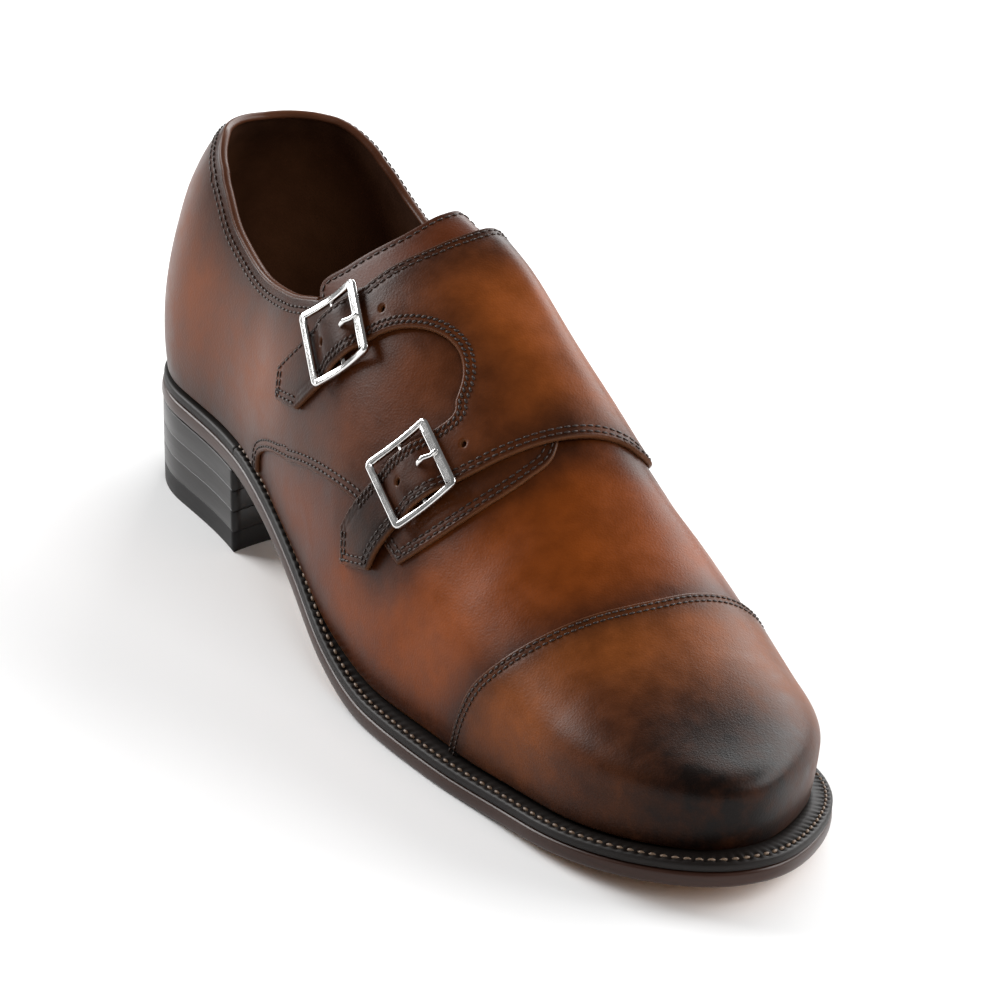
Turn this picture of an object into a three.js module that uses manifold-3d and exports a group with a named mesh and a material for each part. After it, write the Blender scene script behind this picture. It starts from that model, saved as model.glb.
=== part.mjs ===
// A men's double monk strap shoe with a toe cap, right foot, in millimetres.
// The toe points along -Y, the buckled outer side is -X, and the sole stands on Z = 0.
// A place on the upper is (along, girth): along runs from 0 at the heel to 1 at the toe,
// girth from 0 at the outer welt over the ridge at 1 to 2 at the inner welt.
import * as THREE from 'three';
import { mergeVertices } from 'three/addons/utils/BufferGeometryUtils.js';
import Module from 'manifold-3d';

const wasm = await Module();
wasm.setup();

// Driving dimensions of the shoe
const soleLength = 302;
const ballWidth = 105;
const heelHeight = 25;
const heelLength = 72;
const toeSpring = 8;
const backHeight = 118;
const instepHeight = 109.8;
const toeHeight = 37;

// Sole
const outsoleThickness = 4.3;
const weltThickness = 2.6;
const weltWidth = 9;
const weltStep = 0.5;
const insoleThickness = 4;
const heelSeatPitch = 1.3;
const heelTaper = 2.5;
const breastHollow = 6;
const topPieceThickness = 6;
const liftCount = 3;

// Upper
const upperWall = 2;
const leather = 1.3;
const strapLeather = 1.6;
const tongueThickness = 1.5;
const gap = 0.3;

// Buckles
const buckleLength = 21.5;
const buckleWidth = 23;
const buckleBar = 2;
const centerBar = 1.6;
const strapWidth = 16;
const cornerRadius = 2.6;
const prongThickness = 1.4;

// Rounding of the sole's outline at its two ends
const heelRound = 36;
const toeRound = 52;
const heelPower = 2.1;
const toePower = 2.15;
const heelCenter = 40;
const toeCenter = toeRound;

// Stations, as shares of the length, where the forefoot lies flat
const flatStart = 0.60;
const flatEnd = 0.71;
const springPower = 1.9;

// Half widths of the sole, as shares of the ball width
const soleTable = [
  { along: 0.0, outer: 0.295, inner: 0.295 },
  { along: 0.1, outer: 0.303, inner: 0.307 },
  { along: 0.2, outer: 0.300, inner: 0.295 },
  { along: 0.3, outer: 0.330, inner: 0.238 },
  { along: 0.4, outer: 0.367, inner: 0.217 },
  { along: 0.5, outer: 0.414, inner: 0.271 },
  { along: 0.6, outer: 0.433, inner: 0.386 },
  { along: 0.7, outer: 0.410, inner: 0.481 },
  { along: 0.8, outer: 0.362, inner: 0.490 },
  { along: 0.9, outer: 0.328, inner: 0.435 },
  { along: 1.0, outer: 0.286, inner: 0.310 },
];

// Sections of the last. welt: how far the sole stands out, bulge: how far the side swells
// above the welt, waist: height of the widest line, ridge and lean: height and sideways
// place of the ridge, full: squareness of the curve over the instep
// welt, bulge, waist and lean are shares of the ball width
const lastTable = [
  { along: 0.00, welt: 0.029, bulgeOut: 0.029, bulgeIn: 0.029, waist: 0.210, lean: 0.000, fullOut: 2.10, fullIn: 2.10 },
  { along: 0.13, welt: 0.024, bulgeOut: 0.019, bulgeIn: 0.019, waist: 0.210, lean: 0.000, fullOut: 2.10, fullIn: 2.10 },
  { along: 0.25, welt: 0.025, bulgeOut: 0.010, bulgeIn: 0.029, waist: 0.210, lean: 0.010, fullOut: 2.00, fullIn: 2.10 },
  { along: 0.35, welt: 0.015, bulgeOut: 0.010, bulgeIn: 0.048, waist: 0.210, lean: 0.034, fullOut: 1.90, fullIn: 2.15 },
  { along: 0.45, welt: 0.023, bulgeOut: 0.010, bulgeIn: 0.038, waist: 0.190, lean: 0.077, fullOut: 1.85, fullIn: 2.22 },
  { along: 0.55, welt: 0.048, bulgeOut: 0.010, bulgeIn: 0.019, waist: 0.171, lean: 0.100, fullOut: 1.80, fullIn: 2.28 },
  { along: 0.65, welt: 0.069, bulgeOut: 0.010, bulgeIn: 0.014, waist: 0.162, lean: 0.100, fullOut: 1.90, fullIn: 2.20 },
  { along: 0.75, welt: 0.067, bulgeOut: 0.010, bulgeIn: 0.010, waist: 0.152, lean: 0.086, fullOut: 2.05, fullIn: 2.10 },
  { along: 0.85, welt: 0.069, bulgeOut: 0.010, bulgeIn: 0.010, waist: 0.143, lean: 0.067, fullOut: 2.05, fullIn: 1.82 },
  { along: 1.00, welt: 0.086, bulgeOut: 0.010, bulgeIn: 0.010, waist: 0.133, lean: 0.048, fullOut: 2.04, fullIn: 2.04 },
];

// Height of the ridge. back, instep and toe: shares of those three heights, which add up
const ridgeTable = [
  { along: 0.00, back: 1.000, instep: 0.000, toe: 0.000 },
  { along: 0.13, back: 1.017, instep: 0.000, toe: 0.000 },
  { along: 0.25, back: 1.025, instep: 0.000, toe: 0.000 },
  { along: 0.35, back: 0.500, instep: 0.537, toe: 0.000 },
  { along: 0.45, back: 0.000, instep: 1.000, toe: 0.000 },
  { along: 0.55, back: 0.000, instep: 0.843, toe: 0.000 },
  { along: 0.65, back: 0.000, instep: 0.500, toe: 0.486 },
  { along: 0.75, back: 0.000, instep: 0.200, toe: 0.903 },
  { along: 0.85, back: 0.000, instep: 0.000, toe: 1.149 },
  { along: 1.00, back: 0.000, instep: 0.000, toe: 1.000 },
];

// Outlines of the panels, as smooth runs of [along, girth] that meet at corners
const backSeam = 0.0006;
const collarOut = [[0, 0.655], [0.06, 0.665], [0.09, 0.655], [0.14, 0.565], [0.182, 0.495], [0.243, 0.463],
  [0.303, 0.497], [0.348, 0.555]];
const collarIn = [[0.41, 1.17], [0.385, 1.3], [0.348, 1.4], [0.303, 1.47], [0.243, 1.51], [0.182, 1.48],
  [0.14, 1.42], [0.09, 1.345], [0.06, 1.335], [0, 1.345]];
const throat = [[0.348, 0.555], [0.4, 0.66], [0.46, 0.74], [0.52, 0.82], [0.535, 0.9], [0.5, 0.97], [0.44, 1.02],
  [0.41, 1.17]];
const weltLine = 0.015;

const quarterOutline = [
  [[backSeam, weltLine], [0.292, weltLine]],
  [[0.292, weltLine], [0.298, 0.09], [0.347, 0.205], [0.415, 0.32], [0.498, 0.413], [0.54, 0.425], [0.585, 0.422]],
  [[0.585, 0.422], [0.605, 0.5], [0.622, 0.57], [0.633, 0.725], [0.628, 0.868], [0.6, 0.93]],
  [[0.6, 0.93], [0.56, 0.88], [0.5, 0.77], [0.46, 0.72], [0.4, 0.645], [0.348, 0.555]],
  [[0.348, 0.555], [0.303, 0.497], [0.243, 0.463], [0.182, 0.495], [0.14, 0.565], [0.09, 0.655], [0.06, 0.665],
    [backSeam, 0.655]],
  [[backSeam, 0.655], [backSeam, weltLine]],
];
const apronOutline = [
  [[backSeam, 1.345], [0.06, 1.335], [0.09, 1.345], [0.14, 1.42], [0.182, 1.48], [0.243, 1.51], [0.303, 1.47],
    [0.348, 1.4], [0.385, 1.3], [0.41, 1.15], [0.42, 0.975], [0.418, 0.875], [0.412, 0.797], [0.397, 0.66]],
  [[0.397, 0.66], [0.379, 0.57], [0.358, 0.475], [0.333, 0.388]],
  [[0.333, 0.388], [0.342, 0.333], [0.383, 0.38]],
  [[0.383, 0.38], [0.408, 0.473], [0.443, 0.64], [0.475, 0.73], [0.503, 0.768], [0.525, 0.76], [0.54, 0.72],
    [0.547, 0.67], [0.51, 0.425], [0.5, 0.36]],
  [[0.5, 0.36], [0.508, 0.295], [0.552, 0.357]],
  [[0.552, 0.357], [0.567, 0.47], [0.597, 0.655], [0.607, 0.748], [0.615, 0.865], [0.62, 0.973], [0.623, 1.113],
    [0.625, 1.21]],
  [[0.625, 1.21], [0.615, 1.33], [0.58, 1.46], [0.5, 1.6], [0.42, 1.72], [0.36, 1.84], [0.33, 2 - weltLine]],
  [[0.33, 2 - weltLine], [backSeam, 2 - weltLine]],
  [[backSeam, 2 - weltLine], [backSeam, 1.345]],
];
const pastToe = 1.03;
const capOutline = [
  [[0.7, weltLine], [0.712, 0.185], [0.725, 0.315], [0.743, 0.458], [0.757, 0.625], [0.765, 0.82], [0.767, 0.955],
    [0.763, 1.107], [0.757, 1.288], [0.752, 1.44], [0.742, 1.6], [0.73, 1.78], [0.722, 2 - weltLine]],
  [[0.722, 2 - weltLine], [1, 2 - weltLine]],
  [[1, 2 - weltLine], [pastToe, 2 - weltLine], [pastToe, weltLine]],
  [[pastToe, weltLine], [1, weltLine]],
  [[1, weltLine], [0.7, weltLine]],
];
const tongueOutline = [
  [[0.34, 0.53], [0.327, 0.57], [0.35, 0.66], [0.375, 0.81], [0.377, 0.953], [0.37, 1.08], [0.352, 1.2],
    [0.36, 1.24]],
  [[0.36, 1.24], [0.45, 1.22], [0.55, 1.12], [0.6, 1.0]],
  [[0.6, 1.0], [0.585, 0.85], [0.5, 0.7], [0.42, 0.6], [0.34, 0.53]],
];

// Buckles: middle of the frame, and two places that give the way the strap runs under it
const buckles = [
  { name: 'upper', along: 0.401, girth: 0.562, from: [0.3815, 0.4875], to: [0.42, 0.636] },
  { name: 'lower', along: 0.5555, girth: 0.568, from: [0.5415, 0.482], to: [0.569, 0.6545] },
];

// Steps of the facets
const heelSteps = 6;
const bodySteps = 24;
const toeSteps = 8;
const sideSteps = 3;
const topSteps = 8;

// A smooth curve through one column of a table
function column(table, name, along) {
  const last = table.length - 1;
  let i = 0;
  while (i < last - 1 && along > table[i + 1].along) i += 1;
  const slope = (k) => {
    if (k === 0) return (table[1][name] - table[0][name]) / (table[1].along - table[0].along);
    if (k === last) return (table[last][name] - table[last - 1][name]) / (table[last].along - table[last - 1].along);
    const before = table[k].along - table[k - 1].along;
    const after = table[k + 1].along - table[k].along;
    const rise = (table[k][name] - table[k - 1][name]) / before;
    const next = (table[k + 1][name] - table[k][name]) / after;
    return (rise * after + next * before) / (before + after);
  };
  const span = table[i + 1].along - table[i].along;
  const t = THREE.MathUtils.clamp((along - table[i].along) / span, 0, 1);
  const a = (2 * t - 3) * t * t + 1;
  const b = ((t - 2) * t + 1) * t * span;
  const c = (3 - 2 * t) * t * t;
  const d = (t - 1) * t * t * span;
  return a * table[i][name] + b * slope(i) + c * table[i + 1][name] + d * slope(i + 1);
}

function ridgeHeight(station) {
  const along = station / soleLength;
  return column(ridgeTable, 'back', along) * backHeight
    + column(ridgeTable, 'instep', along) * instepHeight
    + column(ridgeTable, 'toe', along) * toeHeight;
}

// Height of the outsole's underside: heel seat, arch, flat forefoot and toe spring
function undersideHeight(station) {
  const flatFrom = flatStart * soleLength;
  const flatTo = flatEnd * soleLength;
  if (station < heelLength) return heelHeight + heelSeatPitch * (1 - station / heelLength);
  if (station < flatFrom) {
    const span = flatFrom - heelLength;
    const t = (station - heelLength) / span;
    const seatSlope = -heelSeatPitch / heelLength;
    return ((2 * t - 3) * t * t + 1) * heelHeight + ((t - 2) * t + 1) * t * span * seatSlope;
  }
  if (station < flatTo) return 0;
  return toeSpring * ((station - flatTo) / (soleLength - flatTo)) ** springPower;
}

// Edge of the sole at a place along it, side -1 outer or +1 inner
function soleEdge(along, side) {
  const heelShare = heelRound / soleLength;
  const toeShare = toeRound / soleLength;
  let station = along * soleLength;
  let round = 1;
  if (along < heelShare) {
    const turn = (along / heelShare) * Math.PI / 2;
    station = heelRound * (1 - Math.max(Math.cos(turn), 0) ** (2 / heelPower));
    round = Math.sin(turn) ** (2 / heelPower);
  } else if (along > 1 - toeShare) {
    const turn = ((along - 1 + toeShare) / toeShare) * Math.PI / 2;
    station = soleLength - toeRound + toeRound * Math.sin(turn) ** (2 / toePower);
    round = along >= 1 ? 0 : Math.max(Math.cos(turn), 0) ** (2 / toePower);
  }
  const half = column(soleTable, side < 0 ? 'outer' : 'inner', station / soleLength) * ballWidth;
  return { station, x: side * half * round };
}

// The same edge moved inwards, square to itself
function insetEdge(along, side, inset) {
  const step = 1e-3;
  const here = soleEdge(along, side);
  const before = soleEdge(Math.max(along - step, 0), side);
  const after = soleEdge(Math.min(along + step, 1), side);
  const isEnd = along <= 0 || along >= 1;
  const runStation = isEnd ? 0 : after.station - before.station;
  const runX = isEnd ? side * (along <= 0 ? 1 : -1) : after.x - before.x;
  const length = Math.hypot(runStation, runX);
  return {
    station: here.station + (runX / length) * side * inset,
    x: here.x - (runStation / length) * side * inset,
    edgeStation: here.station,
  };
}

// The surface of the last at (along, girth)
function lastPoint(along, girth) {
  if (along < 0 || along > 1) {
    return lastPoint(along < 0 ? -along : 2 - along, 2 - girth);
  }
  const side = girth <= 1 ? -1 : 1;
  const rise = Math.min(girth <= 1 ? girth : 2 - girth, 1);
  const place = soleEdge(along, side).station / soleLength;
  const foot = insetEdge(along, side, column(lastTable, 'welt', place) * ballWidth);
  const station = THREE.MathUtils.clamp(foot.edgeStation, heelCenter, soleLength - toeCenter);
  const ridgeX = column(lastTable, 'lean', station / soleLength) * ballWidth;
  const ridgeZ = ridgeHeight(station);
  const reach = Math.hypot(foot.x - ridgeX, foot.station - station);
  const outX = (foot.x - ridgeX) / reach;
  const outStation = (foot.station - station) / reach;
  const bulge = column(lastTable, side < 0 ? 'bulgeOut' : 'bulgeIn', place) * ballWidth;
  const full = column(lastTable, side < 0 ? 'fullOut' : 'fullIn', place);
  const waist = column(lastTable, 'waist', place) * ballWidth;
  const base = undersideHeight(foot.station) + outsoleThickness + weltThickness + 2 * gap;
  const sideShare = 0.25;
  let r = 0;
  let z = 0;
  if (rise < sideShare) {
    const t = rise / sideShare;
    r = reach + bulge * (1 - (1 - t) ** 2);
    z = base + waist * t;
  } else {
    const turn = ((rise - sideShare) / (1 - sideShare)) * Math.PI / 2;
    r = rise >= 1 ? 0 : (reach + bulge) * Math.max(Math.cos(turn), 0) ** (2 / full);
    z = base + waist + (ridgeZ - base - waist) * Math.sin(turn) ** (2 / full);
    if (foot.edgeStation > soleLength - toeCenter) {
      const fall = ridgeHeight(station + 0.5) - ridgeHeight(station - 0.5);
      z += fall * r * outStation * Math.sin(turn) ** 2;
    }
  }
  return new THREE.Vector3(ridgeX + outX * r, soleLength / 2 - station - outStation * r, z);
}

// Direction out of the last's surface. The ridge's columns end at one point over the toe
// and one over the heel, which have one direction each
function lastNormal(anyAlong, girth) {
  const step = 2e-3;
  const onRidge = Math.abs(girth - 1) < 1e-9;
  const along = onRidge
    ? THREE.MathUtils.clamp(anyAlong, heelCenter / soleLength + step, 1 - toeCenter / soleLength - step)
    : anyAlong;
  const run = lastPoint(along + step, girth).sub(lastPoint(along - step, girth));
  const climb = lastPoint(along, girth + step).sub(lastPoint(along, girth - step));
  return run.cross(climb).normalize();
}

// Facet lines of the last, shared by every panel so that layers stay parallel
function facetLines(stops) {
  const lines = [stops[0].at];
  for (let i = 1; i < stops.length; i += 1) {
    for (let k = 1; k <= stops[i].steps; k += 1) {
      lines.push(stops[i - 1].at + ((stops[i].at - stops[i - 1].at) * k) / stops[i].steps);
    }
  }
  return lines;
}
const alongLines = facetLines([
  { at: 0 },
  { at: heelRound / soleLength, steps: heelSteps },
  { at: 1 - toeRound / soleLength, steps: bodySteps },
  { at: 1, steps: toeSteps },
]);
const girthLines = facetLines([
  { at: 0 },
  { at: 0.25, steps: sideSteps },
  { at: 1, steps: topSteps },
  { at: 1.75, steps: topSteps },
  { at: 2, steps: sideSteps },
]);
const cornerPoints = alongLines.map((along) => girthLines.map((girth) => lastPoint(along, girth)));
const cornerNormals = alongLines.map((along) => girthLines.map((girth) => lastNormal(along, girth)));

function cellOf(lines, value) {
  let i = 0;
  while (i < lines.length - 2 && value >= lines[i + 1]) i += 1;
  return { i, t: THREE.MathUtils.clamp((value - lines[i]) / (lines[i + 1] - lines[i]), 0, 1) };
}

// A point on the facets of the last, raised by a height over it
function facetPoint(along, girth, height) {
  const a = cellOf(alongLines, along);
  const g = cellOf(girthLines, girth);
  const corner = (da, dg) => cornerPoints[a.i + da][g.i + dg].clone()
    .addScaledVector(cornerNormals[a.i + da][g.i + dg], height);
  const near = a.t + g.t <= 1;
  const origin = near ? corner(0, 0) : corner(1, 1);
  const shareAlong = near ? a.t : 1 - a.t;
  const shareGirth = near ? g.t : 1 - g.t;
  const towardsAlong = (near ? corner(1, 0) : corner(0, 1)).sub(origin);
  const towardsGirth = (near ? corner(0, 1) : corner(1, 0)).sub(origin);
  return origin.addScaledVector(towardsAlong, shareAlong).addScaledVector(towardsGirth, shareGirth);
}

function solidOf(geometry) {
  const plain = geometry.clone();
  plain.deleteAttribute('normal');
  plain.deleteAttribute('uv');
  const merged = mergeVertices(plain, 1e-5);
  return new wasm.Manifold(new wasm.Mesh({
    numProp: 3,
    vertProperties: new Float32Array(merged.attributes.position.array),
    triVerts: new Uint32Array(merged.index.array),
  }));
}

function geometryFrom(points, triangles) {
  const geometry = new THREE.BufferGeometry();
  geometry.setAttribute('position', new THREE.Float32BufferAttribute(points.flatMap((p) => [p.x, p.y, p.z]), 3));
  geometry.setIndex(triangles.flat());
  return geometry;
}

function geometryOf(solid) {
  const mesh = solid.getMesh();
  const geometry = new THREE.BufferGeometry();
  geometry.setAttribute('position', new THREE.BufferAttribute(new Float32Array(mesh.vertProperties), 3));
  geometry.setIndex(new THREE.BufferAttribute(new Uint32Array(mesh.triVerts), 1));
  geometry.computeVertexNormals();
  return geometry;
}

// Joins points that lie together, leaves out faces that fold to nothing and turns all
// faces outwards
function closeUp(points, triangles) {
  const merged = mergeVertices(geometryFrom(points, triangles), 1e-4);
  const index = merged.index.array;
  const corner = (i) => new THREE.Vector3().fromBufferAttribute(merged.attributes.position, i);
  const kept = [];
  let volume = 0;
  for (let i = 0; i < index.length; i += 3) {
    const [a, b, c] = [index[i], index[i + 1], index[i + 2]];
    if (a !== b && b !== c && c !== a) {
      kept.push(a, b, c);
      volume += corner(a).dot(corner(b).cross(corner(c)));
    }
  }
  if (volume < 0) kept.reverse();
  merged.setIndex(kept);
  merged.computeVertexNormals();
  return merged;
}

// A run of two places is an edge that is straight but for a slight bow, so that its wall
// follows the last in short steps. Three places make a pointed tip, more a smooth curve
const straightStep = 0.03;
const straightBow = 0.002;
function smoothOutline(runs) {
  const outline = [];
  runs.forEach((run) => {
    const ends = run.map(([along, girth]) => new THREE.Vector2(along, girth));
    if (run.length === 2) {
      const way = ends[1].clone().sub(ends[0]);
      const count = Math.ceil(way.length() / straightStep);
      const across = new THREE.Vector2(-way.y, way.x).normalize();
      for (let k = 0; k < count; k += 1) {
        const t = k / count;
        outline.push(ends[0].clone().addScaledVector(way, t).addScaledVector(across, straightBow * 4 * t * (1 - t)));
      }
    } else if (run.length === 3) {
      outline.push(ends[0], ends[1]);
    } else {
      outline.push(...new THREE.SplineCurve(ends).getPoints((run.length - 1) * 3).slice(0, -1));
    }
  });
  return outline;
}

// The flat chart of the upper: one sheet of facets, scaled so that along and girth are
// about as long as each other, with a dome on both faces that keeps every facet apart
const chartAlong = 300;
const chartGirth = 150;
const chartHeight = 20;
function chartDome(along, girth) {
  return chartHeight * (1 + along * along + (girth * girth) / 4 + (along * girth) / 2);
}
function chartSheet() {
  const points = [];
  const triangles = [];
  const rows = girthLines.length;
  const total = alongLines.length * rows;
  [1, -1].forEach((face) => alongLines.forEach((along) => girthLines.forEach((girth) => {
    points.push(new THREE.Vector3(along * chartAlong, girth * chartGirth, face * chartDome(along, girth)));
  })));
  const at = (i, k, face) => i * rows + k + (face < 0 ? total : 0);
  const lastI = alongLines.length - 1;
  const lastK = rows - 1;
  for (let i = 0; i < lastI; i += 1) {
    for (let k = 0; k < lastK; k += 1) {
      triangles.push([at(i, k, 1), at(i + 1, k, 1), at(i, k + 1, 1)]);
      triangles.push([at(i + 1, k, 1), at(i + 1, k + 1, 1), at(i, k + 1, 1)]);
      triangles.push([at(i, k, -1), at(i, k + 1, -1), at(i + 1, k, -1)]);
      triangles.push([at(i + 1, k, -1), at(i, k + 1, -1), at(i + 1, k + 1, -1)]);
    }
  }
  const wall = (i0, k0, i1, k1) => {
    triangles.push([at(i0, k0, 1), at(i0, k0, -1), at(i1, k1, 1)]);
    triangles.push([at(i1, k1, 1), at(i0, k0, -1), at(i1, k1, -1)]);
  };
  for (let i = 0; i < lastI; i += 1) {
    wall(i, 0, i + 1, 0);
    wall(i + 1, lastK, i, lastK);
  }
  for (let k = 0; k < lastK; k += 1) {
    wall(0, k + 1, 0, k);
    wall(lastI, k, lastI, k + 1);
  }
  return solidOf(geometryFrom(points, triangles));
}
const sheet = chartSheet();

function chartPrism(outline) {
  const shape = new THREE.Shape(outline.map((p) => new THREE.Vector2(p.x * chartAlong, p.y * chartGirth)));
  const depth = 8 * chartHeight;
  const prism = new THREE.ExtrudeGeometry(shape, { depth, bevelEnabled: false });
  return solidOf(prism.translate(0, 0, -depth / 2));
}

// A panel of leather: its outline cut from the chart, then laid on the last
function panel(outline, holes, innerHeight, outerHeight) {
  let cut = sheet.intersect(chartPrism(outline));
  holes.forEach((hole) => {
    cut = cut.subtract(chartPrism(hole));
  });
  const mesh = cut.getMesh();
  const charted = [];
  const points = [];
  for (let i = 0; i < mesh.vertProperties.length; i += 3) {
    const along = THREE.MathUtils.clamp(mesh.vertProperties[i] / chartAlong, 0, 1);
    const girth = THREE.MathUtils.clamp(mesh.vertProperties[i + 1] / chartGirth, 0, 2);
    const height = mesh.vertProperties[i + 2] > 0 ? outerHeight : innerHeight;
    charted.push({ along, girth });
    points.push(facetPoint(along, girth, height(along, girth)));
  }
  const triangles = [];
  for (let i = 0; i < mesh.triVerts.length; i += 3) {
    const corners = [mesh.triVerts[i], mesh.triVerts[i + 1], mesh.triVerts[i + 2]];
    const atEnd = (end) => corners.every((c) => Math.abs(charted[c].along - end) < 1e-6);
    if (!atEnd(0) && !atEnd(1)) triangles.push(corners);
  }
  return closeUp(points, triangles);
}

const even = (height) => () => height;

// A stack of rings round the sole, each with its inset and its height, closed by flat faces
function soleStack(rings) {
  const lines = alongLines;
  const points = [];
  const triangles = [];
  const sides = lines.length;
  rings.forEach((ring) => {
    [-1, 1].forEach((side) => lines.forEach((along) => {
      const edge = insetEdge(along, side, ring.inset(along));
      points.push(new THREE.Vector3(edge.x, soleLength / 2 - edge.station, ring.height(edge.station)));
    }));
  });
  const at = (ring, side, i) => ring * 2 * sides + (side < 0 ? 0 : sides) + i;
  const quad = (a, b, c, d) => triangles.push([a, b, c], [a, c, d]);
  const top = rings.length - 1;
  for (let i = 0; i < sides - 1; i += 1) {
    quad(at(0, -1, i), at(0, 1, i), at(0, 1, i + 1), at(0, -1, i + 1));
    quad(at(top, -1, i), at(top, -1, i + 1), at(top, 1, i + 1), at(top, 1, i));
    for (let ring = 0; ring < top; ring += 1) {
      quad(at(ring, -1, i), at(ring, -1, i + 1), at(ring + 1, -1, i + 1), at(ring + 1, -1, i));
      quad(at(ring, 1, i + 1), at(ring, 1, i), at(ring + 1, 1, i), at(ring + 1, 1, i + 1));
    }
  }
  return closeUp(points, triangles);
}

// A strip laid round the sole's edge between two places, through the toe or the heel
function edgeStrip(places, outerInset, innerInset, low, high) {
  const points = [];
  const triangles = [];
  places.forEach(({ along, side }) => {
    [[outerInset, low], [outerInset, high], [innerInset, high], [innerInset, low]].forEach(([inset, height]) => {
      const edge = insetEdge(along, side, inset);
      points.push(new THREE.Vector3(edge.x, soleLength / 2 - edge.station, height(edge.station)));
    });
  });
  for (let i = 0; i < places.length - 1; i += 1) {
    for (let k = 0; k < 4; k += 1) {
      const a = i * 4 + k;
      const b = i * 4 + ((k + 1) % 4);
      triangles.push([a, b, b + 4], [a, b + 4, a + 4]);
    }
  }
  const end = (places.length - 1) * 4;
  triangles.push([0, 2, 1], [0, 3, 2], [end, end + 1, end + 2], [end, end + 2, end + 3]);
  return closeUp(points, triangles);
}

// A heel lift: the heel's outline with a hollow breast, narrower towards the ground
function heelLift(lowZ, highZ) {
  const breast = heelLength / soleLength;
  const lines = [...alongLines.filter((a) => a < breast - 0.01), breast];
  const places = [
    ...lines.slice().reverse().map((along) => ({ along, side: 1 })),
    ...lines.slice(1).map((along) => ({ along, side: -1 })),
  ];
  const ring = (height) => {
    const taper = heelTaper * (1 - height / heelHeight);
    const edge = places.map(({ along, side }) => insetEdge(along, side, weltStep + taper));
    const last = edge[edge.length - 1];
    const first = edge[0];
    const hollow = [0.25, 0.5, 0.75].map((t) => ({
      station: last.station - breastHollow * 4 * t * (1 - t),
      x: last.x + (first.x - last.x) * t,
    }));
    return [...edge, ...hollow].map((p) => new THREE.Vector2(p.x, soleLength / 2 - p.station));
  };
  const low = ring(lowZ);
  const high = ring(highZ(heelLength / 2));
  const points = [
    ...low.map((p) => new THREE.Vector3(p.x, p.y, lowZ)),
    ...high.map((p) => new THREE.Vector3(p.x, p.y, highZ(soleLength / 2 - p.y))),
  ];
  const count = low.length;
  const triangles = [];
  THREE.ShapeUtils.triangulateShape(low, []).forEach(([a, b, c]) => {
    triangles.push([a, c, b], [a + count, b + count, c + count]);
  });
  for (let i = 0; i < count; i += 1) {
    const next = (i + 1) % count;
    triangles.push([i, next, next + count], [i, next + count, i + count]);
  }
  return closeUp(points, triangles);
}

// Local axes of a buckle: along the strap, across it and out of the shoe
function buckleFrame(buckle) {
  const middle = facetPoint(buckle.along, buckle.girth, 0);
  const from = facetPoint(...buckle.from, 0);
  const to = facetPoint(...buckle.to, 0);
  const alongStrap = to.sub(from).normalize();
  const across = new THREE.Vector3().crossVectors(lastNormal(buckle.along, buckle.girth), alongStrap).normalize();
  const out = new THREE.Vector3().crossVectors(alongStrap, across).normalize();
  return new THREE.Matrix4().makeBasis(alongStrap, across, out).setPosition(middle);
}

const strapBase = gap + leather + gap;
const strapTop = strapBase + strapLeather;
const barRise = centerBar + gap;

// The straps rise in one flat step over the centre bars of the buckles
const firstRiseLine = 5;
const riseGirths = [0, 1, 1, 0].map((share, i) => ({ girth: girthLines[firstRiseLine + i], share }));
function buckleRise(girth) {
  for (let i = 1; i < riseGirths.length; i += 1) {
    const [low, high] = [riseGirths[i - 1], riseGirths[i]];
    if (girth >= low.girth && girth <= high.girth) {
      return barRise * THREE.MathUtils.mapLinear(girth, low.girth, high.girth, low.share, high.share);
    }
  }
  return 0;
}

// The apron lies over the outer quarter and comes down to the last on the inner side
const apronLow = (along, girth) => {
  const t = THREE.MathUtils.smoothstep(girth, 1.25, 1.5);
  return THREE.MathUtils.lerp(strapBase, gap, t) + buckleRise(girth);
};
const apronHigh = (along, girth) => apronLow(along, girth) + strapLeather;

// Height of a strap's top in its buckle's own axes, under the bar that crosses it at x
function strapHeight(buckle, frame, x) {
  const toLocal = frame.clone().invert();
  let height = 0;
  const samples = 12;
  for (let i = 0; i <= samples; i += 1) {
    for (let k = 0; k <= samples; k += 1) {
      const girth = buckle.girth + (i / samples - 0.5) * 0.26;
      const way = (girth - buckle.from[1]) / (buckle.to[1] - buckle.from[1]);
      const along = THREE.MathUtils.lerp(buckle.from[0], buckle.to[0], way) + (k / samples - 0.5) * strapWidth / soleLength;
      const point = facetPoint(along, girth, apronHigh(along, girth)).applyMatrix4(toLocal);
      if (Math.abs(point.x - x) < buckleBar) height = Math.max(height, point.z);
    }
  }
  return height;
}

function roundBar(section, path, closed) {
  const sides = 8;
  const points = [];
  const triangles = [];
  path.forEach((p, i) => {
    const before = path[(i - 1 + path.length) % path.length];
    const after = path[(i + 1) % path.length];
    const run = (closed ? after.clone().sub(before) : path[path.length - 1].clone().sub(path[0])).normalize();
    const up = new THREE.Vector3(0, 0, 1);
    const wide = new THREE.Vector3().crossVectors(run, up).normalize();
    const tall = new THREE.Vector3().crossVectors(wide, run);
    for (let k = 0; k < sides; k += 1) {
      const turn = (k / sides) * 2 * Math.PI;
      points.push(p.clone()
        .addScaledVector(wide, Math.cos(turn) * section / 2)
        .addScaledVector(tall, Math.sin(turn) * section / 2));
    }
  });
  const rings = closed ? path.length : path.length - 1;
  for (let i = 0; i < rings; i += 1) {
    const j = (i + 1) % path.length;
    for (let k = 0; k < sides; k += 1) {
      const n = (k + 1) % sides;
      triangles.push([i * sides + k, j * sides + n, j * sides + k], [i * sides + k, i * sides + n, j * sides + n]);
    }
  }
  if (!closed) {
    const end = (path.length - 1) * sides;
    for (let k = 1; k < sides - 1; k += 1) {
      triangles.push([0, k + 1, k], [end, end + k, end + k + 1]);
    }
  }
  const geometry = closeUp(points, triangles);
  return geometry;
}

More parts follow.
